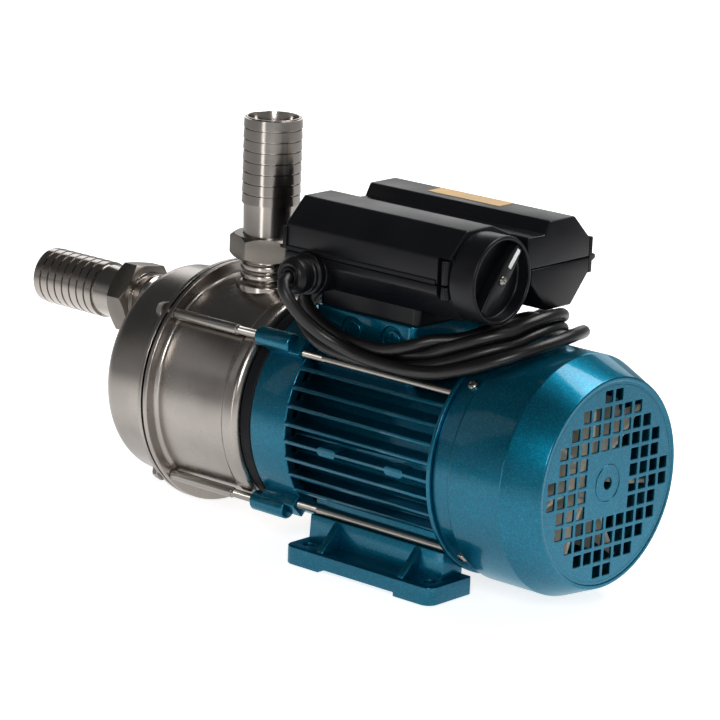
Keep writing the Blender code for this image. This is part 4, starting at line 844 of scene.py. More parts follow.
@dataclass
class Fasteners:
    """Tie rods of the pump, through bolts of the motor, and their nuts."""

    palette: "Palette"
    circle: float = 0.0692
    bolt_circle: float = 0.0651
    bolt_angle: float = 43.2
    rod_radius: float = 0.0025
    sleeve_radius: float = 0.0031

    def places(self, circle: float, degrees: float) -> list[tuple[float, float]]:
        """Give the four (y, z) places on a circle, near top first, then far top, near low, far low.

        Args:
            circle: Radius that they stand on.
            degrees: Turn of the first.

        Returns:
            Their (y, z) places.
        """
        y = circle * math.cos(math.radians(degrees))
        z = circle * math.sin(math.radians(degrees))
        return [(-y, z), (y, z), (-y, -z), (y, -z)]

    def threaded(self, start: float, end: float, radius: float, pitch: float = 0.0009) -> Profile:
        """Give the profile of a threaded length as rings.

        Args:
            start: Where the thread starts.
            end: Where it ends.
            radius: Its outer radius.
            pitch: Its pitch.

        Returns:
            Stations of the profile.
        """
        points = []
        count = int((end - start) / pitch)
        for ring in range(count):
            station = start + ring * pitch
            points += [(station, radius - 0.0004, 0.0), (station + pitch * 0.5, radius, 0.0)]
        return points

    def tie_rods(self) -> None:
        """Turn one tie rod with its sleeve and thread, and copy it to the other corners."""
        radius = self.rod_radius
        profile = [(-0.2981, 0.0, 0.0), (-0.2981, radius, 0.0006), (-0.2839, radius, 0.0),
                   (-0.2839, self.sleeve_radius, 0.0003), (-0.2349, self.sleeve_radius, 0.0005),
                   (-0.2349, radius, 0.0002), (-0.2330, radius, 0.0)]
        profile += self.threaded(-0.2325, -0.2150, radius)
        profile += [(-0.2012, radius, 0.0), (-0.2012, 0.0, 0.0)]
        places = self.places(self.circle, 45.0)
        first = Bench.turned("tie_rod_1", rounded(profile, False, 3), at(0, *places[0]), Axis.FAN,
                             closed=False, steps=32)
        rods = [first] + self.copies(first, "tie_rod", places)
        for index, item in enumerate(rods):
            dress(item, self.palette.zinc, Body.PUMP, (f"tie_stud_{index + 1}",))

    def copies(self, first: Piece, name: str, places: list[tuple[float, float]]) -> list[Piece]:
        """Copy a piece from the first place to the three others.

        Args:
            first: The first of them.
            name: Start of the copies' names.
            places: Places of all.

        Returns:
            The copies.
        """
        made = []
        for index, (y, z) in enumerate(places[1:]):
            move = Vector((0.0, y - places[0][0], z - places[0][1]))
            made.append(Bench.copied(first, f"{name}_{index + 2}", move))
        return made

    def stud_nuts(self) -> None:
        """Extrude one small hexagon nut, chamfer it, seat it on a washer and copy it."""
        places = self.places(self.circle, 45.0)
        y, z = places[0]
        corner = 0.0085 / 2 / math.cos(math.pi / 6)
        turns = [math.radians(15 + 60 * step) for step in range(6)]
        outline = [(corner * math.cos(turn), corner * math.sin(turn)) for turn in turns]
        nut = Bench.prism("stud_cap_1", outline, at(-0.2971, y, z), ACROSS, UPWARD, ALONG * 0.0042)
        barrel = [(-0.2980, 0.0), (-0.2980, 0.0034), (-0.2962, 0.0052), (-0.2920, 0.0052), (-0.2920, 0.0)]
        Bench.combine(nut, Bench.turned("chamfer", barrel, at(0, y, z), Axis.FAN, closed=False, steps=48),
                      "INTERSECT")
        Bench.bevel(nut, 0.0002, 1, 24.0)
        ring = [(-0.2929, 0.0026, 0.0), (-0.2929, 0.0054, 0.0002), (-0.2921, 0.0054, 0.0002),
                (-0.2921, 0.0026, 0.0)]
        washer = Bench.turned("washer", rounded(ring, True, 2), at(0, y, z), Axis.FAN, steps=48)
        nut = Bench.joined("stud_cap_1", [nut, washer])
        for index, item in enumerate([nut] + self.copies(nut, "stud_cap", places)):
            dress(item, self.palette.zinc, Body.PUMP, (f"stud_nut_{index + 1}",), 25.0)

    def motor_bolts(self) -> None:
        """Turn one through bolt with a rolled thread at its front, and copy it."""
        places = self.places(self.bolt_circle, self.bolt_angle)
        profile = [(-0.1936, 0.0, 0.0), (-0.1936, 0.0024, 0.0)]
        profile += self.threaded(-0.1850, -0.1680, 0.0024)
        profile += [(-0.1675, 0.0021, 0.0003), (-0.0743, 0.0021, 0.0), (-0.0743, 0.0, 0.0)]
        first = Bench.turned("through_bolt_1", rounded(profile, False, 2), at(0, *places[0]), Axis.FAN,
                             closed=False, steps=32)
        for index, item in enumerate([first] + self.copies(first, "through_bolt", places)):
            dress(item, self.palette.zinc, Body.PUMP, (f"motor_bolt_{index + 1}",))

    def build(self) -> None:
        """Build the rods, nuts and bolts."""
        self.tie_rods()
        self.stud_nuts()
        self.motor_bolts()


@dataclass
class Adapter:
    """Painted bracket between pump and motor, with four lugs, and the black ring in front of it."""

    palette: "Palette"
    front: float = -0.2111
    back: float = -0.1836
    radius: float = 0.0627
    wall: float = 0.0060
    lug_radius: float = 0.0058
    lug_forward: float = 0.0060
    lug_length: float = 0.0260
    lug_circle: float = 0.0692

    def drum(self) -> Piece:
        """Spin the bracket's drum with its front wall and bearing hub.

        Returns:
            The drum.
        """
        inside = self.radius - self.wall
        step = self.front + self.wall
        profile = [(self.front, 0.0105, 0.0), (self.front, self.radius, 0.0014),
                   (self.back, self.radius, 0.0010), (self.back, inside, 0.0006), (step, inside, 0.0020),
                   (step, 0.0235, 0.0020), (self.back, 0.0235, 0.0006), (self.back, 0.0178, 0.0),
                   (-0.1950, 0.0178, 0.0), (-0.1950, 0.0105, 0.0)]
        return Bench.turned("bracket_drum", rounded(profile, True, 5), at(0, 0, 0), Axis.FAN, steps=128)

    def lugs(self) -> list[Piece]:
        """Model one lug with its web, and swing copies round to the other corners.

        Returns:
            The lugs.
        """
        start = self.front - self.lug_forward
        end = start + self.lug_length
        y = -self.lug_circle * math.cos(math.pi / 4)
        z = self.lug_circle * math.sin(math.pi / 4)
        profile = [(start, 0.0, 0.0), (start, self.lug_radius, 0.0010), (end, self.lug_radius, 0.0014),
                   (end, 0.0, 0.0)]
        barrel = Bench.turned("lug", rounded(profile, False, 4), at(0, y, z), Axis.FAN,
                              closed=False, steps=64)
        outward = Vector((0.0, y, z)).normalized()
        along = Vector((0.0, -outward.z, outward.y))
        half = self.lug_radius
        outline = [(-half, -0.016), (half, -0.016), (half, 0.0), (-half, 0.0)]
        web = Bench.prism("lug_web", outline, at(self.front + 0.0006, y, z), along, outward,
                          ALONG * (self.back - self.front - 0.0012))
        Bench.bevel(web, 0.0008, 3)
        lug = Bench.joined("lug", [barrel, web])
        made = [lug]
        for turn in (90.0, 180.0, 270.0):
            twin = Bench.copied(lug, f"lug_{turn:.0f}")
            Bench.swung(twin, turn, "X", at(0, 0, 0))
            made.append(twin)
        return made

    def build(self) -> None:
        """Build the bracket and the ring."""
        bracket = Bench.joined("pump_bracket", [self.drum()] + self.lugs())
        dress(bracket, self.palette.teal, Body.PUMP, ("adapter",))
        profile = [(-0.2194, 0.046, 0.0), (-0.2194, 0.0622, 0.0012), (-0.2114, 0.0622, 0.0012),
                   (-0.2114, 0.046, 0.0)]
        ring = Bench.turned("distance_ring", rounded(profile, True, 4), at(0, 0, 0), Axis.FAN, steps=128)
        dress(ring, self.palette.ring, Body.PUMP, ("adapter_ring",))


@dataclass
class MotorHousing:
    """Cast housing: horizontal fins on both flanks, belly fins and the terminal pedestal."""

    palette: "Palette"
    front: float = -0.1833
    back: float = -0.0743
    core: float = 0.0540
    fin_radius: float = 0.0640
    fin_count: int = 8
    fin_top: float = 0.0370
    fin_pitch: float = 0.0102
    fin_thickness: float = 0.0034
    fin_taper: float = 0.0008
    belly_count: int = 5
    belly_pitch: float = 0.0095
    belly_radius: float = 0.0610
    pedestal: tuple[float, float, float, float] = (-0.1830, -0.1080, 0.0420, 0.0733)
    pedestal_corner: float = 0.0055
    knockouts: tuple[float, ...] = (-0.15365, -0.12435)
    knockout_height: float = 0.0630

    def flank(self, side: int, heights: list[float]) -> Profile:
        """Give one flank's fins with filleted roots and tips.

        Args:
            side: -1 for the near flank, 1 for the far one.
            heights: Middle heights of the fins, in the order of the outline.

        Returns:
            Corners as (y, z, rounding).
        """
        upward = -1 if heights[0] > heights[-1] else 1
        root = self.fin_thickness / 2
        tip = root - self.fin_taper / 2
        points = []
        for index, height in enumerate(heights):
            for offset, radius, soft in ((-root, self.core, 0.0014), (-tip, self.fin_radius, 0.0009),
                                         (tip, self.fin_radius, 0.0009), (root, self.core, 0.0014)):
                z = height + upward * offset
                points.append((side * math.sqrt(radius ** 2 - z ** 2), z, soft))
            if index + 1 < len(heights):
                middle = (height + heights[index + 1]) / 2
                points.append((side * math.sqrt(self.core ** 2 - middle ** 2), middle, 0.0))
        return points

    def outline(self) -> Outline:
        """Give the housing's cross-section.

        Returns:
            The outline, as (y, z) places.
        """
        heights = [self.fin_top - self.fin_pitch * fin for fin in range(self.fin_count)]
        points = self.flank(-1, heights)
        half = self.fin_thickness / 2
        for fin in range(self.belly_count):
            middle = self.belly_pitch * (fin - (self.belly_count - 1) / 2)
            for offset, radius, soft in ((-half, self.core, 0.0014), (-half, self.belly_radius, 0.0009),
                                         (half, self.belly_radius, 0.0009), (half, self.core, 0.0014)):
                y = middle + offset
                points.append((y, -math.sqrt(radius ** 2 - y ** 2), soft))
        points += self.flank(1, heights[::-1])
        start = math.atan2(points[-1][1], points[-1][0])
        end = math.pi - start
        for step in range(1, 24):
            turn = start + (end - start) * step / 24
            points.append((self.core * math.cos(turn), self.core * math.sin(turn), 0.0))
        return rounded(points, True, 3)

    def body(self) -> Piece:
        """Extrude the cross-section and turn the fins' front ends down to a cone.

        Returns:
            The body.
        """
        reach = ALONG * (self.back - self.front)
        body = Bench.prism("fin_block", self.outline(), at(self.front, 0, 0), ACROSS, UPWARD, reach)
        cone = [(self.front - 0.003, self.core - 0.0070), (self.front - 0.003, self.fin_radius + 0.004),
                (self.front + 0.0100, self.fin_radius + 0.004), (self.front + 0.0032, self.core)]
        Bench.combine(body, Bench.turned("cone", cone, at(0, 0, 0), Axis.FAN))
        return body

    def terminal_pedestal(self) -> Piece:
        """Extrude the pedestal, soften its edges and sink its two knockouts.

        Returns:
            The pedestal.
        """
        start, end, half, top = self.pedestal
        corner = self.pedestal_corner
        outline = rounded([(start, -half, corner), (end, -half, corner), (end, half, corner),
                           (start, half, corner)], True, 6)
        block = Bench.prism("pedestal", outline, at(0, 0, 0.024), ALONG, ACROSS, UPWARD * (top - 0.024))
        Bench.bevel(block, 0.0010, 3, 50.0)
        buttons = []
        for index, x in enumerate(self.knockouts):
            origin = at(x, 0.0, self.knockout_height)
            sink = rounded([(half - 0.0016, 0.0, 0.0), (half - 0.0016, 0.0080, 0.0004),
                            (half + 0.002, 0.0088, 0.0), (half + 0.002, 0.0, 0.0)], False, 3)
            Bench.combine(block, Bench.turned("sink", sink, origin, Axis.NEAR, closed=False, steps=48))
            disc = rounded([(half - 0.0020, 0.0, 0.0), (half - 0.0020, 0.0058, 0.0),
                            (half - 0.0004, 0.0055, 0.0005), (half - 0.0004, 0.0, 0.0)], False, 3)
            button = Bench.turned(f"knockout_{index}", disc, origin, Axis.NEAR, closed=False, steps=48)
            for low, high in (((-0.0042, -0.0007), (0.0042, 0.0007)),
                              ((-0.0007, -0.0042), (0.0007, 0.0042))):
                slot = Bench.block("slot", at(x + low[0], -half, self.knockout_height + low[1]),
                                   at(x + high[0], -half + 0.0012, self.knockout_height + high[1]))
                Bench.combine(button, slot)
            buttons.append(button)
        return Bench.joined("pedestal", [block] + buttons)

    def pads(self) -> list[Piece]:
        """Extrude the small oval pads that sit on the flanks' middle fins.

        Returns:
            The pads.
        """
        made = []
        height = self.fin_top - self.fin_pitch * 4
        for side in (-1, 1):
            for index, x in enumerate((-0.1510, -0.1010)):
                outline = rounded([(x - 0.0070, height - 0.0027, 0.0026),
                                   (x + 0.0070, height - 0.0027, 0.0026),
                                   (x + 0.0070, height + 0.0027, 0.0026),
                                   (x - 0.0070, height + 0.0027, 0.0026)], True, 6)
                pad = Bench.prism(f"pad_{side}_{index}", outline, at(0, side * 0.0530, 0), ALONG, UPWARD,
                                  Vector((0.0, side * 0.0108, 0.0)))
                Bench.bevel(pad, 0.0006, 2, 50.0)
                made.append(pad)
        return made

    def build(self) -> None:
        """Build the housing as one casting."""
        casting = Bench.joined("motor_casting", [self.body(), self.terminal_pedestal()] + self.pads())
        dress(casting, self.palette.teal, Body.PUMP, ("motor_housing",), 30.0)


@dataclass
class Foot:
    """Foot rail with its web, two gussets and two bolt holes."""

    palette: "Palette"
    node: str
    side: int
    middle: float = -0.1231
    length: float = 0.1100
    edge: float = 0.0667
    inner: float = 0.0310
    thickness: float = 0.0105
    hole_pitch: float = 0.0900
    hole_span: float = 0.0560
    hole_radius: float = 0.0035
    gusset_pitch: float = 0.0600
    gusset_thickness: float = 0.0045
    relief: float = 0.0022
    relief_length: float = 0.0560
    saddle: float = 0.0543

    def extruded(self, name: str, outline: Outline, start: float, end: float) -> Piece:
        """Extrude a (y, z) outline between two stations along the shaft.

        Args:
            name: Name of the part.
            outline: Its (y, z) outline.
            start: Where it starts.
            end: Where it ends.

        Returns:
            The part.
        """
        places = [(self.side * y, z) for y, z in outline]
        return Bench.prism(name, places, at(start, 0, 0), ACROSS, UPWARD, ALONG * (end - start))

    def build(self) -> None:
        """Build the rail, its web and gussets."""
        ground = -SHAFT_Z
        top = ground + self.thickness
        start = self.middle - self.length / 2
        end = self.middle + self.length / 2
        soft = 0.0065
        outline = rounded([(start, self.side * self.inner, 0.0015), (end, self.side * self.inner, 0.0015),
                           (end, self.side * self.edge, soft), (start, self.side * self.edge, soft)],
                          True, 5)
        plate = Bench.prism(f"{self.node}_rail", outline, at(0, 0, ground), ALONG, ACROSS,
                            UPWARD * self.thickness)
        under = Bench.block("under", at(self.middle - self.relief_length / 2, -0.09, ground - 0.004),
                            at(self.middle + self.relief_length / 2, 0.09, ground + self.relief))
        Bench.combine(plate, under)
        for along in (-0.5, 0.5):
            drill = [(-0.02, 0.0), (-0.02, self.hole_radius), (0.02, self.hole_radius), (0.02, 0.0)]
            place = at(self.middle + along * self.hole_pitch, self.side * self.hole_span, ground + 0.005)
            Bench.combine(plate, Bench.turned("drill", drill, place, Axis.UP, closed=False, steps=32))
        Bench.bevel(plate, 0.0009, 3, 40.0)
        wall = [(self.inner + 0.001, top - 0.002), (0.0500, top - 0.002), (0.0487, -0.0476),
                (0.0445, -0.0476), (0.0445, -0.0364), (self.inner + 0.001, -0.0364)]
        web = self.extruded("web", wall, start + 0.004, -0.0743)
        barrel = [(start - 0.01, 0.0), (start - 0.01, self.saddle), (end + 0.01, self.saddle),
                  (end + 0.01, 0.0)]
        Bench.combine(web, Bench.turned("saddle", barrel, at(0, 0, 0), Axis.FAN, closed=False, steps=96))
        Bench.bevel(web, 0.0008, 2, 40.0)
        pieces = [plate, web]
        for along in (-0.5, 0.5):
            middle = self.middle + along * self.gusset_pitch
            half = self.gusset_thickness / 2
            outline = [(0.0440, top - 0.002), (self.edge - 0.0030, top - 0.002),
                       (self.edge - 0.0030, top + 0.0006), (0.0500, -0.0486), (0.0475, -0.0476),
                       (0.0440, -0.0476)]
            gusset = self.extruded("gusset", outline, middle - half, middle + half)
            Bench.bevel(gusset, 0.0009, 3, 30.0)
            pieces.append(gusset)
        foot = Bench.joined(f"{self.node}_casting", pieces)
        dress(foot, self.palette.teal, Body.PUMP, (self.node,), 30.0)


@dataclass
class FanEnd:
    """End shield, pressed fan cover with its punched grille, and the fan behind it."""

    palette: "Palette"
    length: float = 0.0710
    radius: float = 0.0655
    wall: float = 0.0014
    barrel: float = 0.0684
    cone_length: float = 0.0215
    rim: float = 0.0590
    rim_height: float = 0.0007
    disc_radius: float = 0.0555
    pitch: float = 0.0090
    hole: float = 0.0068
    rows: tuple[int, ...] = (2, 6, 8, 10, 6, 8, 8, 6, 10, 8, 6, 2)
    blank: int = 4
    grille_turn: float = -2.0
    hub_hole: float = 0.0035
    screw_turns: tuple[float, ...] = (130.5, 226.5, 49.5, -46.5)

    def shell(self) -> Piece:
        """Spin the cover's wall: edge band, step, barrel, flat cone and rim.

        Returns:
            The wall.
        """
        edge = -self.length
        wall = self.wall
        cone = -self.cone_length
        step = edge + 0.0110
        profile = [(edge, self.radius - wall, 0.0002), (edge, self.radius, 0.0004),
                   (step, self.radius, 0.0010), (step + 0.0022, self.barrel, 0.0020),
                   (cone, self.barrel, 0.0030), (0.0, self.rim + 0.0004, 0.0013),
                   (-0.0003, self.rim - 0.0014, 0.0004), (-self.rim_height, self.rim - 0.0020, 0.0003),
                   (-self.rim_height, self.disc_radius, 0.0),
                   (-self.rim_height - wall, self.disc_radius, 0.0),
                   (-self.rim_height - wall, self.rim - 0.004, 0.0),
                   (cone - 0.0004, self.barrel - wall, 0.0020), (step + 0.0030, self.barrel - wall, 0.0010),
                   (step + 0.0008, self.radius - wall, 0.0008)]
        return Bench.turned("cover_wall", rounded(profile, True, 6), at(0, 0, 0), Axis.FAN, steps=128)

    def cells(self) -> list[tuple[float, float]]:
        """Give the (y, z) middle of each square hole.

        Returns:
            The middles.
        """
        places = []
        last = len(self.rows) - 1
        for row, count in enumerate(self.rows):
            blank = self.blank if abs(row - last / 2) < self.blank / 2 else 0
            across = count + blank
            for column in range(across):
                place = column - (across - 1) / 2
                if blank and abs(place) < blank / 2:
                    continue
                places.append((place * self.pitch, (last / 2 - row) * self.pitch))
        return places

    def grille(self) -> Piece:
        """Punch the face: one square peg, copied to every hole, cut from a round plate.

        Returns:
            The punched plate.
        """
        turns = [math.tau * step / 128 for step in range(128)]
        outline = [(self.disc_radius * math.cos(turn), self.disc_radius * math.sin(turn)) for turn in turns]
        back = -self.rim_height - self.wall
        plate = Bench.prism("grille_plate", outline, at(back, 0, 0), ACROSS, UPWARD, ALONG * self.wall)
        places = self.cells()
        half = self.hole / 2
        soft = 0.0005
        corner = [(-half, -half, soft), (half, -half, soft), (half, half, soft), (-half, half, soft)]
        first = places[0]
        peg = Bench.prism("peg", rounded(corner, True, 2), at(-0.006, *first), ACROSS, UPWARD, ALONG * 0.009)
        pegs = [peg]
        for y, z in places[1:]:
            pegs.append(Bench.copied(peg, "peg_next", Vector((0.0, y - first[0], z - first[1]))))
        punch = Bench.joined("punch", pegs)
        Bench.swung(punch, self.grille_turn, "X", at(0, 0, 0))
        Bench.combine(plate, punch)
        drill = [(-0.006, 0.0), (-0.006, self.hub_hole), (0.003, self.hub_hole), (0.003, 0.0)]
        Bench.combine(plate, Bench.turned("drill", drill, at(0, 0, 0), Axis.FAN, closed=False, steps=32))
        Bench.bevel(plate, 0.00022, 2, 60.0)
        return plate

    def emboss(self) -> Piece:
        """Spin the round ridge pressed round the hub hole.

        Returns:
            The ridge.
        """
        base = -self.rim_height - 0.0004
        profile = [(base, 0.0098, 0.0), (base + 0.0009, 0.0101, 0.0004), (base + 0.0009, 0.0108, 0.0004),
                   (base, 0.0111, 0.0)]
        return Bench.turned("hub_ridge", rounded(profile, True, 4), at(0, 0, 0), Axis.FAN, steps=64)

    def cover(self) -> None:
        """Join wall, grille and ridge into the fan cover."""
        cover = Bench.joined("fan_guard", [self.shell(), self.grille(), self.emboss()])
        dress(cover, self.palette.teal, Body.PUMP, ("fan_cover",), 22.0)

    def screws(self) -> None:
        """Turn one pan-head screw with a cross slot, and swing it round the shield's edge."""
        x = -0.0638
        seat = self.radius + 0.0003
        profile = [(seat - 0.002, 0.0, 0.0), (seat - 0.002, 0.0030, 0.0), (seat + 0.0010, 0.0030, 0.0006),
                   (seat + 0.0018, 0.0018, 0.0010), (seat + 0.0019, 0.0, 0.0)]
        first = Bench.turned("cover_screw", rounded(profile, False, 4), at(x, 0, 0), Axis.UP,
                             closed=False, steps=40)
        for low, high in (((-0.0018, -0.0004), (0.0018, 0.0004)), ((-0.0004, -0.0018), (0.0004, 0.0018))):
            slot = Bench.block("slot", at(x + low[0], low[1], seat + 0.0011),
                               at(x + high[0], high[1], seat + 0.003))
            Bench.combine(first, slot)
        for index, turn in enumerate(self.screw_turns):
            screw = Bench.copied(first, f"cover_screw_{index + 1}")
            Bench.swung(screw, turn - 90.0, "X", at(0, 0, 0))
            dress(screw, self.palette.zinc, Body.PUMP, (), 30.0)
        bpy.data.objects.remove(first, do_unlink=True)

    def shield(self) -> None:
        """Spin the end shield with its clamping flange."""
        inside = self.radius - self.wall - 0.0003
        flange = self.radius + 0.0022
        profile = [(-0.0820, 0.0178, 0.0), (-0.0820, 0.0235, 0.0005), (-0.0740, 0.0235, 0.0),
                   (-0.0740, flange, 0.0007), (-0.0713, flange, 0.0007), (-0.0713, inside, 0.0),
                   (-0.0633, inside, 0.0005), (-0.0633, inside - 0.005, 0.0005),
                   (-0.0693, inside - 0.007, 0.001), (-0.0693, 0.0235, 0.0020), (-0.0677, 0.0215, 0.0005),
                   (-0.0677, 0.0095, 0.0005), (-0.0707, 0.0095, 0.0), (-0.0707, 0.0178, 0.0)]
        shield = Bench.turned("rear_shield", rounded(profile, True, 4), at(0, 0, 0), Axis.FAN, steps=128)
        dress(shield, self.palette.teal, Body.PUMP, ("end_shield",))

    def fan(self) -> None:
        """Model the fan: hub, back disc and one blade swung round to seven."""
        profile = [(-0.0460, 0.0063, 0.0), (-0.0460, 0.0130, 0.0008), (-0.0120, 0.0115, 0.0012),
                   (-0.0120, 0.0063, 0.0)]
        hub = Bench.turned("fan_hub", rounded(profile, True, 4), at(0, 0, 0), Axis.FAN, steps=64)
        ring = [(-0.0456, 0.0115, 0.0), (-0.0456, 0.0510, 0.0006), (-0.0436, 0.0510, 0.0006),
                (-0.0436, 0.0115, 0.0)]
        disc = Bench.turned("fan_disc", rounded(ring, True, 3), at(0, 0, 0), Axis.FAN, steps=96)
        outline = rounded([(0.0120, -0.0010, 0.0), (0.0330, -0.0018, 0.02), (0.0546, -0.0002, 0.0006),
                           (0.0546, 0.0018, 0.0006), (0.0330, 0.0002, 0.02), (0.0120, 0.0010, 0.0)], True, 6)
        blade = Bench.prism("blade", outline, at(-0.0458, 0, 0), UPWARD, Vector((0, -1, 0)), ALONG * 0.0335)
        tip = Bench.block("tip", at(-0.0230, -0.02, 0.0470), at(-0.0050, 0.02, 0.0700))
        Bench.swung(tip, -38.0, "Y", at(-0.0230, 0, 0.0470))
        Bench.combine(blade, tip)
        Bench.bevel(blade, 0.0004, 2, 40.0)
        blades = [blade]
        for index in range(1, 7):
            twin = Bench.copied(blade, f"blade_{index}")
            Bench.swung(twin, 360.0 * index / 7, "X", at(0, 0, 0))
            blades.append(twin)
        wheel = Bench.joined("fan_wheel", [hub, disc] + blades)
        dress(wheel, self.palette.fan, Body.ROTOR, ("fan",))

    def build(self) -> None:
        """Build the fan end from the inside out."""
        self.fan()
        self.shield()
        self.cover()
        self.screws()


@dataclass
class ElectricalBox:
    """Two-bay moulded box: lid, base, neck, screw pocket, clip and the bare label strip."""

    palette: "Palette"
    start: float = -0.1965
    near_end: float = -0.0760
    far_end: float = -0.0630
    near_seam: float = 0.1040
    far_seam: float = 0.1079
    near_lid: Outline = field(default_factory=lambda: [
        (-0.0535, 0.1191), (-0.0390, 0.1333), (-0.0170, 0.1333), (-0.0015, 0.1265), (0.0025, 0.1265)])
    far_lid: Outline = field(default_factory=lambda: [
        (-0.0015, 0.1265), (0.0130, 0.1260), (0.0170, 0.1333), (0.0390, 0.1333), (0.0535, 0.1191)])
    near_base: Outline = field(default_factory=lambda: [
        (-0.0025, 0.0990), (-0.0170, 0.0825), (-0.0390, 0.0825), (-0.0535, 0.0990)])
    far_base: Outline = field(default_factory=lambda: [
        (0.0535, 0.0990), (0.0390, 0.0825), (0.0170, 0.0825), (0.0025, 0.0990)])

    def bay(self, name: str, outline: Outline, end: float) -> Piece:
        """Extrude one bay's half and soften its edges.

        Args:
            name: Name of the bay.
            outline: Its (y, z) outline.
            end: Where it ends.

        Returns:
            The bay.
        """
        bay = Bench.prism(name, outline, at(self.start, 0, 0), ACROSS, UPWARD, ALONG * (end - self.start))
        Bench.bevel(bay, 0.0011, 3, 20.0)
        return bay

    def notch(self, piece: Piece) -> None:
        """Cut the screw pocket out of the near bay's fan-end corner."""
        Bench.combine(piece, Bench.block("notch", at(-0.0838, -0.0560, 0.0955),
                                         at(-0.0750, -0.0500, 0.1195)))

    def column(self, name: str, low: float, high: float) -> Piece:
        """Turn the ribbed screw column that stands in the pocket.

        Args:
            name: Name of the column.
            low: Its foot.
            high: Its top.

        Returns:
            The column.
        """
        profile = rounded([(low, 0.0, 0.0), (low, 0.0029, 0.0004), (high, 0.0029, 0.0004), (high, 0.0, 0.0)],
                          False, 3)
        post = Bench.turned(name, profile, at(-0.0798, -0.0505, 0), Axis.UP, closed=False, steps=32)
        rib = Bench.block(f"{name}_rib", at(-0.0802, -0.0533, low), at(-0.0794, -0.0480, high))
        return Bench.joined(name, [post, rib])

    def lid(self) -> None:
        """Build the lid with its skirt over the seam."""
        near = [(-0.0535, self.near_seam + 0.0002)] + self.near_lid + [(0.0025, self.near_seam + 0.0002)]
        far = [(-0.0015, self.far_seam + 0.0002)] + self.far_lid + [(0.0535, self.far_seam + 0.0002)]
        near_bay = self.bay("lid_near", near, self.near_end)
        self.notch(near_bay)
        skirt = [(-0.0541, self.near_seam + 0.0003), (-0.0541, self.near_seam + 0.0022),
                 (-0.0536, self.near_seam + 0.0030), (-0.0525, self.near_seam + 0.0030),
                 (-0.0525, self.near_seam + 0.0003)]
        lip = Bench.prism("lid_lip", skirt, at(self.start + 0.0012, 0, 0), ACROSS, UPWARD,
                          ALONG * (-0.0848 - self.start - 0.0012))
        far_bay = self.bay("lid_far", far, self.far_end)
        strip = Bench.block("end_strip", at(self.start - 0.0012, -0.0544, 0.1046),
                            at(self.start + 0.0016, -0.0500, 0.1175))
        Bench.bevel(strip, 0.0004, 2)
        tab = Bench.block("end_tab", at(self.start - 0.0030, -0.0546, 0.1046),
                          at(self.start, -0.0510, 0.1066))
        Bench.bevel(tab, 0.0004, 2)
        lid = Bench.joined("box_cover", [near_bay, far_bay, lip, strip, tab,
                                         self.column("lid_post", 0.1046, 0.1180)])
        dress(lid, self.palette.box, Body.PUMP, ("box_lid",), 30.0)

    def base(self) -> None:
        """Build the base, its neck onto the pedestal and the boss for the gland."""
        near = [(0.0025, self.near_seam - 0.0002), (-0.0025, 0.1000)] + self.near_base[1:]
        near += [(-0.0535, self.near_seam - 0.0002)]
        far = [(0.0535, self.far_seam - 0.0002)] + self.far_base + [(0.0025, self.far_seam - 0.0002)]
        near_bay = self.bay("base_near", near, self.near_end)
        self.notch(near_bay)
        far_bay = self.bay("base_far", far, self.far_end)
        outline = rounded([(-0.1830, -0.0390, 0.005), (-0.1080, -0.0390, 0.005), (-0.1080, 0.0390, 0.005),
                           (-0.1830, 0.0390, 0.005)], True, 5)
        neck = Bench.prism("base_neck", outline, at(0, 0, 0.0736), ALONG, ACROSS, UPWARD * 0.0110)
        boss = Bench.turned("gland_boss", rounded([(0.038, 0.0, 0.0), (0.038, 0.0124, 0.0),
                                                   (0.0537, 0.0124, 0.0008), (0.0537, 0.0, 0.0)], False, 4),
                            at(-0.1765, 0, 0.0942), Axis.NEAR, closed=False, steps=64)
        base = Bench.joined("box_tray", [near_bay, far_bay, neck, boss,
                                         self.column("base_post", 0.0962, 0.1034)])
        dress(base, self.palette.box, Body.PUMP, ("box_base",), 30.0)

    def latch(self) -> None:
        """Extrude the clip over the far seam."""
        face = 0.0538
        outline = [(face, 0.0985), (face + 0.0032, 0.0985), (face + 0.0032, 0.1050), (face + 0.0060, 0.1062),
                   (face + 0.0060, 0.1086), (face + 0.0032, 0.1096), (face + 0.0032, 0.1191), (face, 0.1191)]
        clip = Bench.prism("box_clip", outline, at(self.far_end - 0.0085, 0, 0), ACROSS, UPWARD,
                           ALONG * 0.0080)
        Bench.bevel(clip, 0.0005, 2, 30.0)
        dress(clip, self.palette.box, Body.PUMP, ("box_latch",), 30.0)

    def label(self) -> None:
        """Lay the bare label strip on the far bay's top."""
        outline = rounded([(-0.1590, 0.0245, 0.0012), (-0.1060, 0.0245, 0.0012), (-0.1060, 0.0375, 0.0012),
                           (-0.1590, 0.0375, 0.0012)], True, 3)
        strip = Bench.prism("label_strip", outline, at(0, 0, 0.1332), ALONG, ACROSS, UPWARD * 0.0004)
        dress(strip, self.palette.label, Body.PUMP, (), 30.0)

    def build(self) -> None:
        """Build the box from the base up."""
        self.base()
        self.lid()
        self.latch()
        self.label()


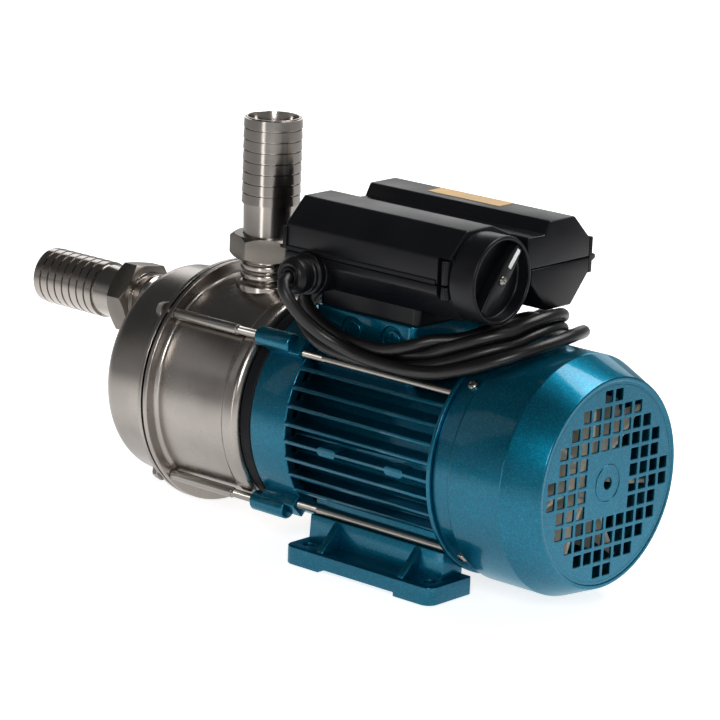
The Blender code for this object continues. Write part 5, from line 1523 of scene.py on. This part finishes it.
@dataclass
class ReversingSwitch:
    """Round switch housing on the near bay's end and the lever that turns in it."""

    palette: "Palette"
    y: float = -0.0280
    z: float = SWITCH_Z
    start: float = -0.0757
    front: float = -0.0587
    radius: float = 0.0250
    recess: float = 0.0075
    lean: float = 40.0

    def drum(self) -> None:
        """Spin the drum with its rounded rim, recess and stepped floor."""
        floor = self.front - self.recess
        profile = [(self.start, 0.0035, 0.0), (self.start, self.radius, 0.0005),
                   (self.front, self.radius, 0.0012), (self.front, self.radius - 0.0024, 0.0008),
                   (floor, self.radius - 0.0029, 0.0012), (floor, 0.0035, 0.0)]
        drum = Bench.turned("switch_cup", rounded(profile, True, 5), at(0, self.y, self.z),
                            Axis.FAN, steps=96)
        dress(drum, self.palette.box, Body.PUMP, ("switch_drum",))

    def ticks(self) -> None:
        """Stand three small position ticks on the drum's floor, sixty degrees apart."""
        floor = self.front - self.recess
        first = Bench.block("tick", at(floor - 0.0002, self.y - 0.0005, self.z + 0.0195),
                            at(floor + 0.0004, self.y + 0.0005, self.z + 0.0215))
        made = []
        for index, turn in enumerate((self.lean, self.lean - 60.0, self.lean - 120.0)):
            tick = Bench.copied(first, f"tick_{index}")
            Bench.swung(tick, -turn, "X", at(0, self.y, self.z))
            made.append(tick)
        bpy.data.objects.remove(first, do_unlink=True)
        dress(Bench.joined("position_ticks", made), self.palette.white, Body.PUMP, ())

    def leaned(self, piece: Piece) -> Piece:
        """Turn a piece with the lever's lean."""
        Bench.swung(piece, -self.lean, "X", at(0, self.y, self.z))
        return piece

    def lever(self) -> None:
        """Extrude the bar lever, its white pointer and its screw."""
        start = self.front - self.recess + 0.0003
        top = start + 0.0070
        outline = rounded([(-0.0030, -0.0220, 0.0008), (0.0030, -0.0220, 0.0008), (0.0047, -0.0077, 0.0030),
                           (0.0047, 0.0077, 0.0030), (0.0026, 0.0220, 0.0008), (-0.0026, 0.0220, 0.0008),
                           (-0.0047, 0.0077, 0.0030), (-0.0047, -0.0077, 0.0030)], True, 4)
        bar = Bench.prism("lever_bar", outline, at(start, self.y, self.z), ACROSS, UPWARD, ALONG * 0.0070)
        Bench.bevel(bar, 0.0009, 3, 40.0)
        dress(self.leaned(bar), self.palette.box, Body.SWITCH, ("switch_lever",))
        pointer = rounded([(-0.0014, 0.0085, 0.0005), (0.0014, 0.0085, 0.0005), (0.0014, 0.0205, 0.0005),
                           (-0.0014, 0.0205, 0.0005)], True, 3)
        strip = Bench.prism("lever_pointer", pointer, at(top - 0.0002, self.y, self.z), ACROSS, UPWARD,
                            ALONG * 0.0004)
        dress(self.leaned(strip), self.palette.white, Body.SWITCH, ())
        profile = rounded([(top, 0.0, 0.0), (top, 0.0027, 0.0), (top + 0.0009, 0.0027, 0.0004),
                           (top + 0.0014, 0.0012, 0.0006), (top + 0.0014, 0.0, 0.0)], False, 4)
        screw = Bench.turned("pivot_screw", profile, at(0, self.y, self.z), Axis.FAN, closed=False, steps=40)
        slot = Bench.block("slot", at(top + 0.0009, self.y - 0.0022, self.z - 0.0003),
                           at(top + 0.003, self.y + 0.0022, self.z + 0.0003))
        Bench.combine(screw, slot)
        dress(self.leaned(screw), self.palette.zinc, Body.SWITCH, ("lever_screw",))

    def build(self) -> None:
        """Build the drum and what turns in it."""
        self.drum()
        self.ticks()
        self.lever()


@dataclass
class Gland:
    """Cable gland on the near wall: body and domed nut round the cord."""

    palette: "Palette"
    x: float = -0.1765
    z: float = 0.0942
    bore: float = 0.0040

    def build(self) -> None:
        """Spin the body and the nut."""
        origin = at(self.x, 0, self.z)
        body = [(0.0538, self.bore, 0.0), (0.0538, 0.0122, 0.0008), (0.0578, 0.0122, 0.0010),
                (0.0586, 0.0108, 0.0006), (0.0604, 0.0108, 0.0005), (0.0610, 0.0100, 0.0004),
                (0.0638, 0.0100, 0.0), (0.0638, self.bore, 0.0)]
        collar = Bench.turned("gland_collar", rounded(body, True, 4), origin, Axis.NEAR, steps=80)
        dress(collar, self.palette.gland, Body.PUMP, ("gland_body",))
        nut = [(0.0641, self.bore, 0.0), (0.0641, 0.0106, 0.0006), (0.0682, 0.0106, 0.0012),
               (0.0708, 0.0090, 0.0012), (0.0719, 0.0076, 0.0008), (0.0711, 0.0062, 0.0006),
               (0.0700, 0.0056, 0.0003), (0.0717, 0.0050, 0.0004), (0.0717, self.bore, 0.0003)]
        cap = Bench.turned("gland_cap", rounded(nut, True, 4), origin, Axis.NEAR, steps=80)
        dress(cap, self.palette.gland, Body.PUMP, ("gland_nut",))


@dataclass
class Plug:
    """Moulded two-pin plug with a ribbed strain relief, lying on the floor."""

    palette: "Palette"
    place: Point = (-0.1180, 0.0960, 0.0188)
    radius: float = 0.0185
    pin_radius: float = 0.0024
    pin_length: float = 0.0190
    pin_pitch: float = 0.0190

    def build(self) -> list[Piece]:
        """Spin the body and the pins.

        Returns:
            The pieces that belong to the cord's far end.
        """
        x, y, height = self.place
        origin = at(x, y, height - SHAFT_Z)
        profile = [(0.0, 0.0, 0.0), (0.0, 0.0045, 0.0003)]
        for ring in range(4):
            station = 0.0018 + ring * 0.0034
            radius = 0.0047 + ring * 0.0004
            profile += [(station, radius - 0.0003, 0.0002), (station + 0.0004, radius + 0.0006, 0.0003),
                        (station + 0.0022, radius + 0.0006, 0.0003),
                        (station + 0.0026, radius - 0.0003, 0.0002)]
        profile += [(0.0162, 0.0064, 0.0010), (0.0190, 0.0118, 0.0020),
                    (0.0262, self.radius - 0.0003, 0.0030), (0.0500, self.radius - 0.0003, 0.0010),
                    (0.0522, self.radius - 0.0015, 0.0008), (0.0522, 0.0, 0.0)]
        body = Bench.turned("mains_plug", rounded(profile, False, 4), origin, Axis.SUCTION,
                            closed=False, steps=80)
        dress(body, self.palette.cord, Body.PUMP, ("plug",))
        end = 0.0520 + self.pin_length
        pins = []
        for side in (-0.5, 0.5):
            profile = [(0.0500, 0.0, 0.0), (0.0500, self.pin_radius, 0.0), (end, self.pin_radius, 0.0014),
                       (end, 0.0, 0.0)]
            origin = at(x, y, height - SHAFT_Z + side * self.pin_pitch)
            pins.append(Bench.turned("pin", rounded(profile, False, 4), origin, Axis.SUCTION,
                                     closed=False, steps=32))
        contacts = dress(Bench.joined("plug_pins", pins), self.palette.zinc, Body.PUMP, ())
        return [body, contacts]


@dataclass(frozen=True)
class Softbox:
    """One rectangular lamp of the studio."""

    name: str
    place: Point
    aim: Point
    size: tuple[float, float]
    power: float

    def hang(self) -> None:
        """Hang the lamp at its place and turn it to what it lights."""
        data = bpy.data.lights.new(self.name, "AREA")
        data.shape = "RECTANGLE"
        data.size, data.size_y = self.size
        data.energy = self.power
        lamp = bpy.data.objects.new(self.name, data)
        bpy.context.scene.collection.objects.link(lamp)
        lamp.location = at(*self.place)
        lamp.rotation_mode = "QUATERNION"
        lamp.rotation_quaternion = (at(*self.aim) - at(*self.place)).to_track_quat("-Z", "Y")


@dataclass
class Studio:
    """Camera at the photograph's angle, pale floor, white backdrop and soft lamps."""

    azimuth: float = 41.188
    elevation: float = 14.477
    roll: float = 2.210
    distance: float = 2.0536
    target: Point = (-0.18454, 0.0, 0.03765)
    lens: float = 178.11
    shift_x: float = 0.0007
    shift_y: float = -0.0117
    # Floor: half its width, its thickness, its gap below the feet and its colour
    floor_reach: float = 8.0
    floor_depth: float = 0.010
    floor_gap: float = 0.001
    floor_colour: Point = (0.80, 0.80, 0.80)
    # Floor's white to the camera and in metal: strengths near and far, and where each begins
    floor_seen: tuple[float, float, float, float] = (0.78, 1.0, 0.35, 1.30)
    floor_mirrored: tuple[float, float, float, float] = (0.68, 0.12, 0.30, 0.85)
    # Sky: heights where it starts and ends to dim, and its strengths there
    haze: tuple[float, float, float, float] = (0.00, 0.42, 0.42, 0.07)
    lamps: tuple[Softbox, ...] = (
        Softbox("overhead", (0.25, 0.55, 1.30), (-0.16, 0.0, 0.05), (1.0, 0.8), 18.0),
        Softbox("rear", (-1.40, 1.60, 0.80), (-0.15, 0.0, 0.10), (1.8, 0.7), 6.5),
        Softbox("left", (-1.10, -1.00, 0.75), (-0.20, 0.0, 0.0), (0.30, 0.8), 0.35),
        Softbox("strip", (-0.20, -0.55, 0.03), (-0.25, 0.0, 0.08), (0.10, 0.25), 0.19),
        Softbox("front", (1.10, -1.60, 1.00), (-0.10, 0.0, 0.0), (0.6, 0.7), 18.0))

    def camera(self) -> None:
        """Stand the camera at the photograph's viewing angle."""
        turn = math.radians(self.azimuth)
        rise = math.radians(self.elevation)
        back = Vector((math.sin(turn) * math.cos(rise), -math.cos(turn) * math.cos(rise), math.sin(rise)))
        data = bpy.data.cameras.new("camera")
        data.lens = self.lens
        data.sensor_width = 36.0
        data.shift_x = self.shift_x
        data.shift_y = self.shift_y
        data.clip_start = 0.05
        data.clip_end = 50.0
        camera = bpy.data.objects.new("camera", data)
        bpy.context.scene.collection.objects.link(camera)
        level = (-back).to_track_quat("-Z", "Y")
        camera.rotation_mode = "QUATERNION"
        camera.rotation_quaternion = Matrix.Rotation(math.radians(self.roll), 3,
                                                     back).to_quaternion() @ level
        camera.location = at(*self.target) + back * self.distance
        bpy.context.scene.camera = camera

    def floor(self) -> None:
        """Lay the pale floor, which the camera, metal and glass see as white."""
        top = -SHAFT_Z - self.floor_gap
        piece = Bench.block("floor", at(-self.floor_reach, -self.floor_reach, top - self.floor_depth),
                            at(self.floor_reach, self.floor_reach, top))
        nodes = Nodes("floor")
        nodes.set(Base_Color=self.floor_colour, Roughness=0.9, Specular_IOR_Level=0.0)
        path = nodes.tree.nodes.new("ShaderNodeLightPath")
        away = nodes.tree.nodes.new("ShaderNodeVectorMath")
        away.operation = "LENGTH"
        nodes.link(nodes.coordinate.outputs["Object"], away.inputs[0])
        shown = nodes.tree.nodes.new("ShaderNodeMix")
        nodes.link(path.outputs["Is Camera Ray"], shown.inputs[0])
        nodes.link(nodes.ranged(away.outputs["Value"], *self.floor_mirrored), shown.inputs[2])
        nodes.link(nodes.ranged(away.outputs["Value"], *self.floor_seen), shown.inputs[3])
        lit = path.outputs["Is Camera Ray"]
        for ray in ("Is Glossy Ray", "Is Transmission Ray"):
            either = nodes.tree.nodes.new("ShaderNodeMath")
            either.operation = "ADD"
            either.use_clamp = True
            nodes.link(lit, either.inputs[0])
            nodes.link(path.outputs[ray], either.inputs[1])
            lit = either.outputs["Value"]
        strength = nodes.tree.nodes.new("ShaderNodeMath")
        strength.operation = "MULTIPLY"
        nodes.link(lit, strength.inputs[0])
        nodes.link(shown.outputs[0], strength.inputs[1])
        emission = nodes.tree.nodes.new("ShaderNodeEmission")
        emission.inputs["Color"].default_value = (1.0, 1.0, 1.0, 1.0)
        nodes.link(strength.outputs["Value"], emission.inputs["Strength"])
        add = nodes.tree.nodes.new("ShaderNodeAddShader")
        nodes.link(nodes.shader.outputs["BSDF"], add.inputs[0])
        nodes.link(emission.outputs["Emission"], add.inputs[1])
        nodes.link(add.outputs["Shader"], nodes.tree.nodes["Material Output"].inputs["Surface"])
        piece.data.materials.append(nodes.material)

    def world(self) -> None:
        """Light the room: white at the horizon and below, dim overhead, white to the camera."""
        world = bpy.data.worlds.new("studio")
        bpy.context.scene.world = world
        world.use_nodes = True
        tree = world.node_tree
        background = tree.nodes["Background"]
        coordinate = tree.nodes.new("ShaderNodeTexCoord")
        split = tree.nodes.new("ShaderNodeSeparateXYZ")
        tree.links.new(coordinate.outputs["Generated"], split.inputs[0])
        height = tree.nodes.new("ShaderNodeMapRange")
        height.inputs["From Min"].default_value = self.haze[0]
        height.inputs["From Max"].default_value = self.haze[1]
        height.inputs["To Min"].default_value = self.haze[2]
        height.inputs["To Max"].default_value = self.haze[3]
        tree.links.new(split.outputs["Z"], height.inputs["Value"])
        path = tree.nodes.new("ShaderNodeLightPath")
        mix = tree.nodes.new("ShaderNodeMix")
        mix.data_type = "FLOAT"
        mix.inputs[3].default_value = 1.0
        tree.links.new(path.outputs["Is Camera Ray"], mix.inputs[0])
        tree.links.new(height.outputs["Result"], mix.inputs[2])
        tree.links.new(mix.outputs[0], background.inputs["Strength"])
        background.inputs["Color"].default_value = (1.0, 1.0, 1.0, 1.0)

    def build(self) -> None:
        """Set the whole stage."""
        self.camera()
        bpy.context.scene.view_settings.view_transform = "Standard"
        self.world()
        self.floor()
        for lamp in self.lamps:
            lamp.hang()


@dataclass
class Cord:
    """Mains cord: out of the gland, wound round the pedestal, down to the plug on the floor."""

    radius: float = 0.0037
    spacing: float = 0.0045
    rounds: int = 60
    clearance: float = 0.0002
    # How the strands settle: push between them, stiffness, pull back to the route, how many steps
    # along the cord count as one strand, and how many points are held at the gland and the plug
    push: float = 0.45
    stiffness: float = 0.16
    memory: float = 0.03
    neighbours: int = 7
    held_points: tuple[int, int] = (5, 8)
    # What they are kept off. Pedestal: start, end, half width and top. Pump shell: radius and end.
    # Round bodies: where each starts and its radius. Box: start, far and near bays' ends, half width,
    # underside and middle. Switch cup: start, end, radius, place across and height
    pedestal: tuple[float, float, float, float] = (-0.183, -0.108, 0.042, 0.085)
    shell_radius: float = 0.0627
    shell_end: float = -0.2197
    bodies: tuple[tuple[float, float], ...] = ((-0.1833, 0.0545), (-0.0750, 0.0655), (-0.0620, 0.0684))
    box: tuple[float, ...] = (-0.1965, -0.0630, -0.0760, 0.0400, 0.0825, 0.100)
    cup: tuple[float, ...] = (-0.0757, -0.0587, 0.0250, -0.0280, 0.1052)

    # Lead from the gland, passes beside the pedestal and turns at its fan end and pump end, in
    # millimetres from the shaft line. The near ones are as the photograph shows them
    lead: tuple[Point, ...] = ((-176.5, -68, 94.2), (-176.5, -72, 94.2), (-175.8, -76, 92.4),
                               (-173.5, -78.2, 88.2), (-170.2, -78.0, 83.2), (-167.2, -76, 76.7),
                               (-164.0, -71, 70.5), (-157.5, -64, 62.9), (-145.5, -58.5, 57.1))
    near_passes: tuple[tuple[Point, ...], ...] = (
        ((-125.6, -56, 53.5), (-99.9, -54, 52.6), (-80, -47.5, 54.8), (-56, -40, 62.6), (-44, -29, 68.7),
         (-36, -12, 73.5)),
        ((-186, -46.5, 58), (-172, -49, 52.5), (-145, -49.4, 50.4), (-118, -49.4, 51.4), (-90, -47, 57.6),
         (-70.8, -38.9, 64.3), (-55.8, -25.9, 72.8), (-48.5, -9, 76.8)),
        ((-184.5, -45.8, 65.5), (-172, -45.9, 58.5), (-145, -45.9, 56.2), (-118, -45.9, 57), (-90, -44, 65),
         (-72, -38, 71.5), (-62, -31, 75.5), (-53.5, -22, 80), (-49, -8, 84)),
        ((-184, -47, 74.5), (-176, -51.5, 67.2), (-158, -52, 61.5), (-138, -52, 58.4), (-112, -51, 59.2),
         (-90, -41.5, 65.5), (-78, -23, 72), (-72.5, -7, 77)))
    fan_tips: tuple[Point, ...] = ((-34.5, 4, 75.2), (-47.5, 4, 77.5), (-48, 4, 85), (-72, 5, 78.2))
    far_passes: tuple[tuple[Point, ...], ...] = (
        ((-38.5, 20, 75.4), (-46, 33, 72), (-58, 42, 66), (-78, 48, 59), (-100, 50, 54), (-118, 50, 50.6),
         (-145, 49.4, 50.4), (-172, 49, 52.5), (-186, 46.5, 58)),
        ((-52, 19, 76), (-60, 31, 71.5), (-73, 41, 65), (-92, 46, 60), (-118, 45.9, 56.5),
         (-145, 45.9, 56.2), (-172, 45.9, 58.5), (-184.5, 45.8, 65.5)),
        ((-51, 17, 83.5), (-57.5, 28, 79.5), (-70, 38.5, 73.5), (-92, 48, 65.5), (-122, 52, 59),
         (-145, 52, 59.5), (-160, 52, 61.5), (-176, 51.5, 67.2), (-184, 47, 74.5)))
    pump_turns: tuple[tuple[Point, ...], ...] = (
        ((-200, -37, 65.5), (-210, -20, 71), (-214.3, 0, 73.5)),
        ((-194, -36, 70.5), (-203, -18, 73), (-206.5, 0, 73.8)),
        ((-196, -36, 77.3), (-206, -20, 79.2), (-210.5, 0, 80.4)))
    tail: tuple[Point, ...] = ((-74.5, 19, 77), (-79, 32, 73), (-86, 45, 67), (-93, 57, 58), (-98, 66, 44),
                               (-100, 73, 26), (-98, 78.5, 3), (-94, 83, -20), (-90, 88.5, -42),
                               (-91, 94, -53), (-99, 96, -54.7), (-109, 96, -54.7), (-117.4, 96, -54.7))

    def places(self) -> list[Point]:
        """Give the whole route's places in order, from the gland to the plug.

        Returns:
            The places, in millimetres.
        """
        points = list(self.lead)
        for turn, near in enumerate(self.near_passes):
            points += [*near, self.fan_tips[turn]]
            if turn < len(self.far_passes):
                half = self.pump_turns[turn]
                points += self.far_passes[turn]
                points += [(x, -y, z) for x, y, z in half] + list(half[1::-1])
        return points + list(self.tail)

    def curved(self) -> np.ndarray:
        """Draw one smooth curve through the places and read evenly spaced points from it.

        Returns:
            Evenly spaced points, in metres.
        """
        knots = np.array(self.places()) / 1000.0
        knots = np.vstack([knots[0], knots, knots[-1]])
        fine = []
        for a, b, c, d in zip(knots, knots[1:], knots[2:], knots[3:]):
            for t in np.linspace(0.0, 1.0, 16, endpoint=False):
                fine.append(0.5 * (2 * b + (c - a) * t + (2 * a - 5 * b + 4 * c - d) * t ** 2
                                   + (3 * b - a - 3 * c + d) * t ** 3))
        return self.even(np.array(fine + [knots[-1]]))

    def even(self, points: np.ndarray) -> np.ndarray:
        """Space points evenly along their line.

        Args:
            points: Points along a line.

        Returns:
            Points at the spacing.
        """
        lengths = np.linalg.norm(np.diff(points, axis=0), axis=1)
        travelled = np.concatenate([[0.0], np.cumsum(lengths)])
        wanted = np.linspace(0.0, travelled[-1], round(travelled[-1] / self.spacing) + 1)
        return np.stack([np.interp(wanted, travelled, points[:, axis]) for axis in range(3)], axis=1)

    def keep_out(self, points: np.ndarray) -> None:
        """Push points out of the pedestal, the motor, the cover, the shell and the box.

        Args:
            points: Points to move, in place.
        """
        x, y, z = points[:, 0], points[:, 1], points[:, 2]
        grown = self.radius + self.clearance
        start, end, half, top = self.pedestal
        beside = (x > start - grown) & (x < end + grown) & (np.abs(y) < half + grown) & (z < top)
        side = (half + grown) - np.abs(y)
        ends = np.minimum(x - start + grown, end + grown - x)
        outward = beside & (side <= ends)
        y[outward] += np.sign(y[outward]) * side[outward]
        lengthways = beside & (side > ends)
        x[lengthways] += np.where(x[lengthways] < (start + end) / 2, -1.0, 1.0) * ends[lengthways]
        core = np.full_like(x, self.shell_radius)
        for station, radius in self.bodies:
            core = np.where(x > station, radius, core)
        core = core + grown
        off = np.hypot(y, z)
        low = (off < core) & (z > 0.0)
        y[low] *= core[low] / off[low]
        z[low] *= core[low] / off[low]
        x[:] = np.maximum(x, self.shell_end + grown)
        start, far_end, near_end, half, underside, middle = self.box
        under = (x > start - grown) & (x < far_end + grown) & (np.abs(y) < half) & (z > 0.0)
        under &= (z < middle) & ((y > 0) | (x < near_end + grown))
        z[under] = np.minimum(z[under], underside - grown)
        start, end, radius, across, height = self.cup
        depth = radius + grown - np.hypot(y - across, z - height)
        drum = (x > start - grown) & (x < end + grown) & (depth > 0.0)
        z[drum] -= depth[drum]

    def settled(self, points: np.ndarray) -> np.ndarray:
        """Let the strands push each other apart, off the pump and into soft bends.

        Args:
            points: Points of the route.

        Returns:
            Settled points.
        """
        held = points.copy()
        count = len(points)
        index = np.arange(count)
        apart = np.abs(index[:, None] - index[None, :]) > self.neighbours
        free = np.ones(count, dtype=bool)
        free[:self.held_points[0]] = False
        free[-self.held_points[1]:] = False
        for _ in range(self.rounds):
            gaps = points[:, None, :] - points[None, :, :]
            distance = np.linalg.norm(gaps, axis=2) + 1e-9
            push = np.where(apart & (distance < 2 * self.radius),
                            (2 * self.radius - distance) * self.push, 0.0)
            moved = points + (gaps / distance[:, :, None] * push[:, :, None]).sum(axis=1)
            bent = moved.copy()
            bent[2:-2] += self.stiffness * (moved[1:-3] + moved[3:-1] - 2 * moved[2:-2])
            bent += self.memory * (held - bent)
            self.keep_out(bent)
            points = np.where(free[:, None], bent, held)
        return points

    def build(self, palette: Palette, far_end: list[Piece]) -> None:
        """Lay the cord from the gland to the plug.

        Args:
            palette: The pump's finishes.
            far_end: Pieces on the cord's far end; not used.
        """
        route = [at(*place) for place in self.even(self.settled(self.curved())).tolist()]
        curve = bpy.data.curves.new("mains_cord", "CURVE")
        curve.dimensions = "3D"
        curve.bevel_depth = self.radius
        curve.bevel_resolution = 5
        curve.use_fill_caps = True
        spline = curve.splines.new("POLY")
        spline.points.add(len(route) - 1)
        for point, place in zip(spline.points, route):
            point.co = (*place, 1.0)
        spline.use_smooth = True
        curve.materials.append(palette.cord)
        piece = bpy.data.objects.new("mains_cord", curve)
        bpy.context.scene.collection.objects.link(piece)
        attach(piece, Body.PUMP.value)
        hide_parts("cord_lead", "cord_coil", "cord_tail")


class PaintedNodes:
    """CAD nodes whose shape is right as it stands, given their finishes."""

    def __init__(self, palette: Palette) -> None:
        """Pair each node's slot with a finish.

        Args:
            palette: The pump's finishes.
        """
        self.by_slot = {
            "stainless": palette.shell, "brushed_nut_steel": palette.nut, "bright_zinc": palette.zinc,
            "metallic_teal_paint": palette.teal, "black_ring": palette.ring, "black_plastic": palette.box,
            "black_rubber": palette.cord, "seal_rubber": palette.seal, "shaft_steel": palette.shaft,
            "fan_aluminium": palette.fan, "bronze": palette.bronze, "copper_winding": palette.copper,
            "lamination_steel": palette.lamination, "ceramic_seat": palette.ceramic,
            "capacitor_white": palette.white,
        }

    def build(self) -> None:
        """Dress every node by its slot in the record."""
        slots = {row["node"]: row["material_slot"] for row in frame["record"]["subparts"]}
        for name, node in frame["nodes"].items():
            node.data.materials.clear()
            node.data.materials.append(self.by_slot[slots[name]])


def main() -> None:
    """Dress the frame, build each sub-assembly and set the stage."""
    logging.basicConfig(level=logging.INFO, format="%(message)s")
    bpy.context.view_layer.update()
    palette = Palette()
    Studio().build()
    PaintedNodes(palette).build()
    PumpShells(palette).build()
    Port(palette, "suction", (-0.3316, 0.0, 0.0360), Axis.SUCTION, 0.0250, 171.0, 0.0).build()
    Port(palette, "outlet", (-0.2577, 0.0, 0.0650), Axis.UP, 0.0155, 275.6, 0.0040).build()
    Fasteners(palette).build()
    Adapter(palette).build()
    MotorHousing(palette).build()
    Foot(palette, "near_foot", -1).build()
    Foot(palette, "far_foot", 1).build()
    FanEnd(palette).build()
    ElectricalBox(palette).build()
    ReversingSwitch(palette).build()
    Gland(palette).build()
    far_end = Plug(palette).build()
    Cord().build(palette, far_end)


if __name__ == "__main__":
    main()
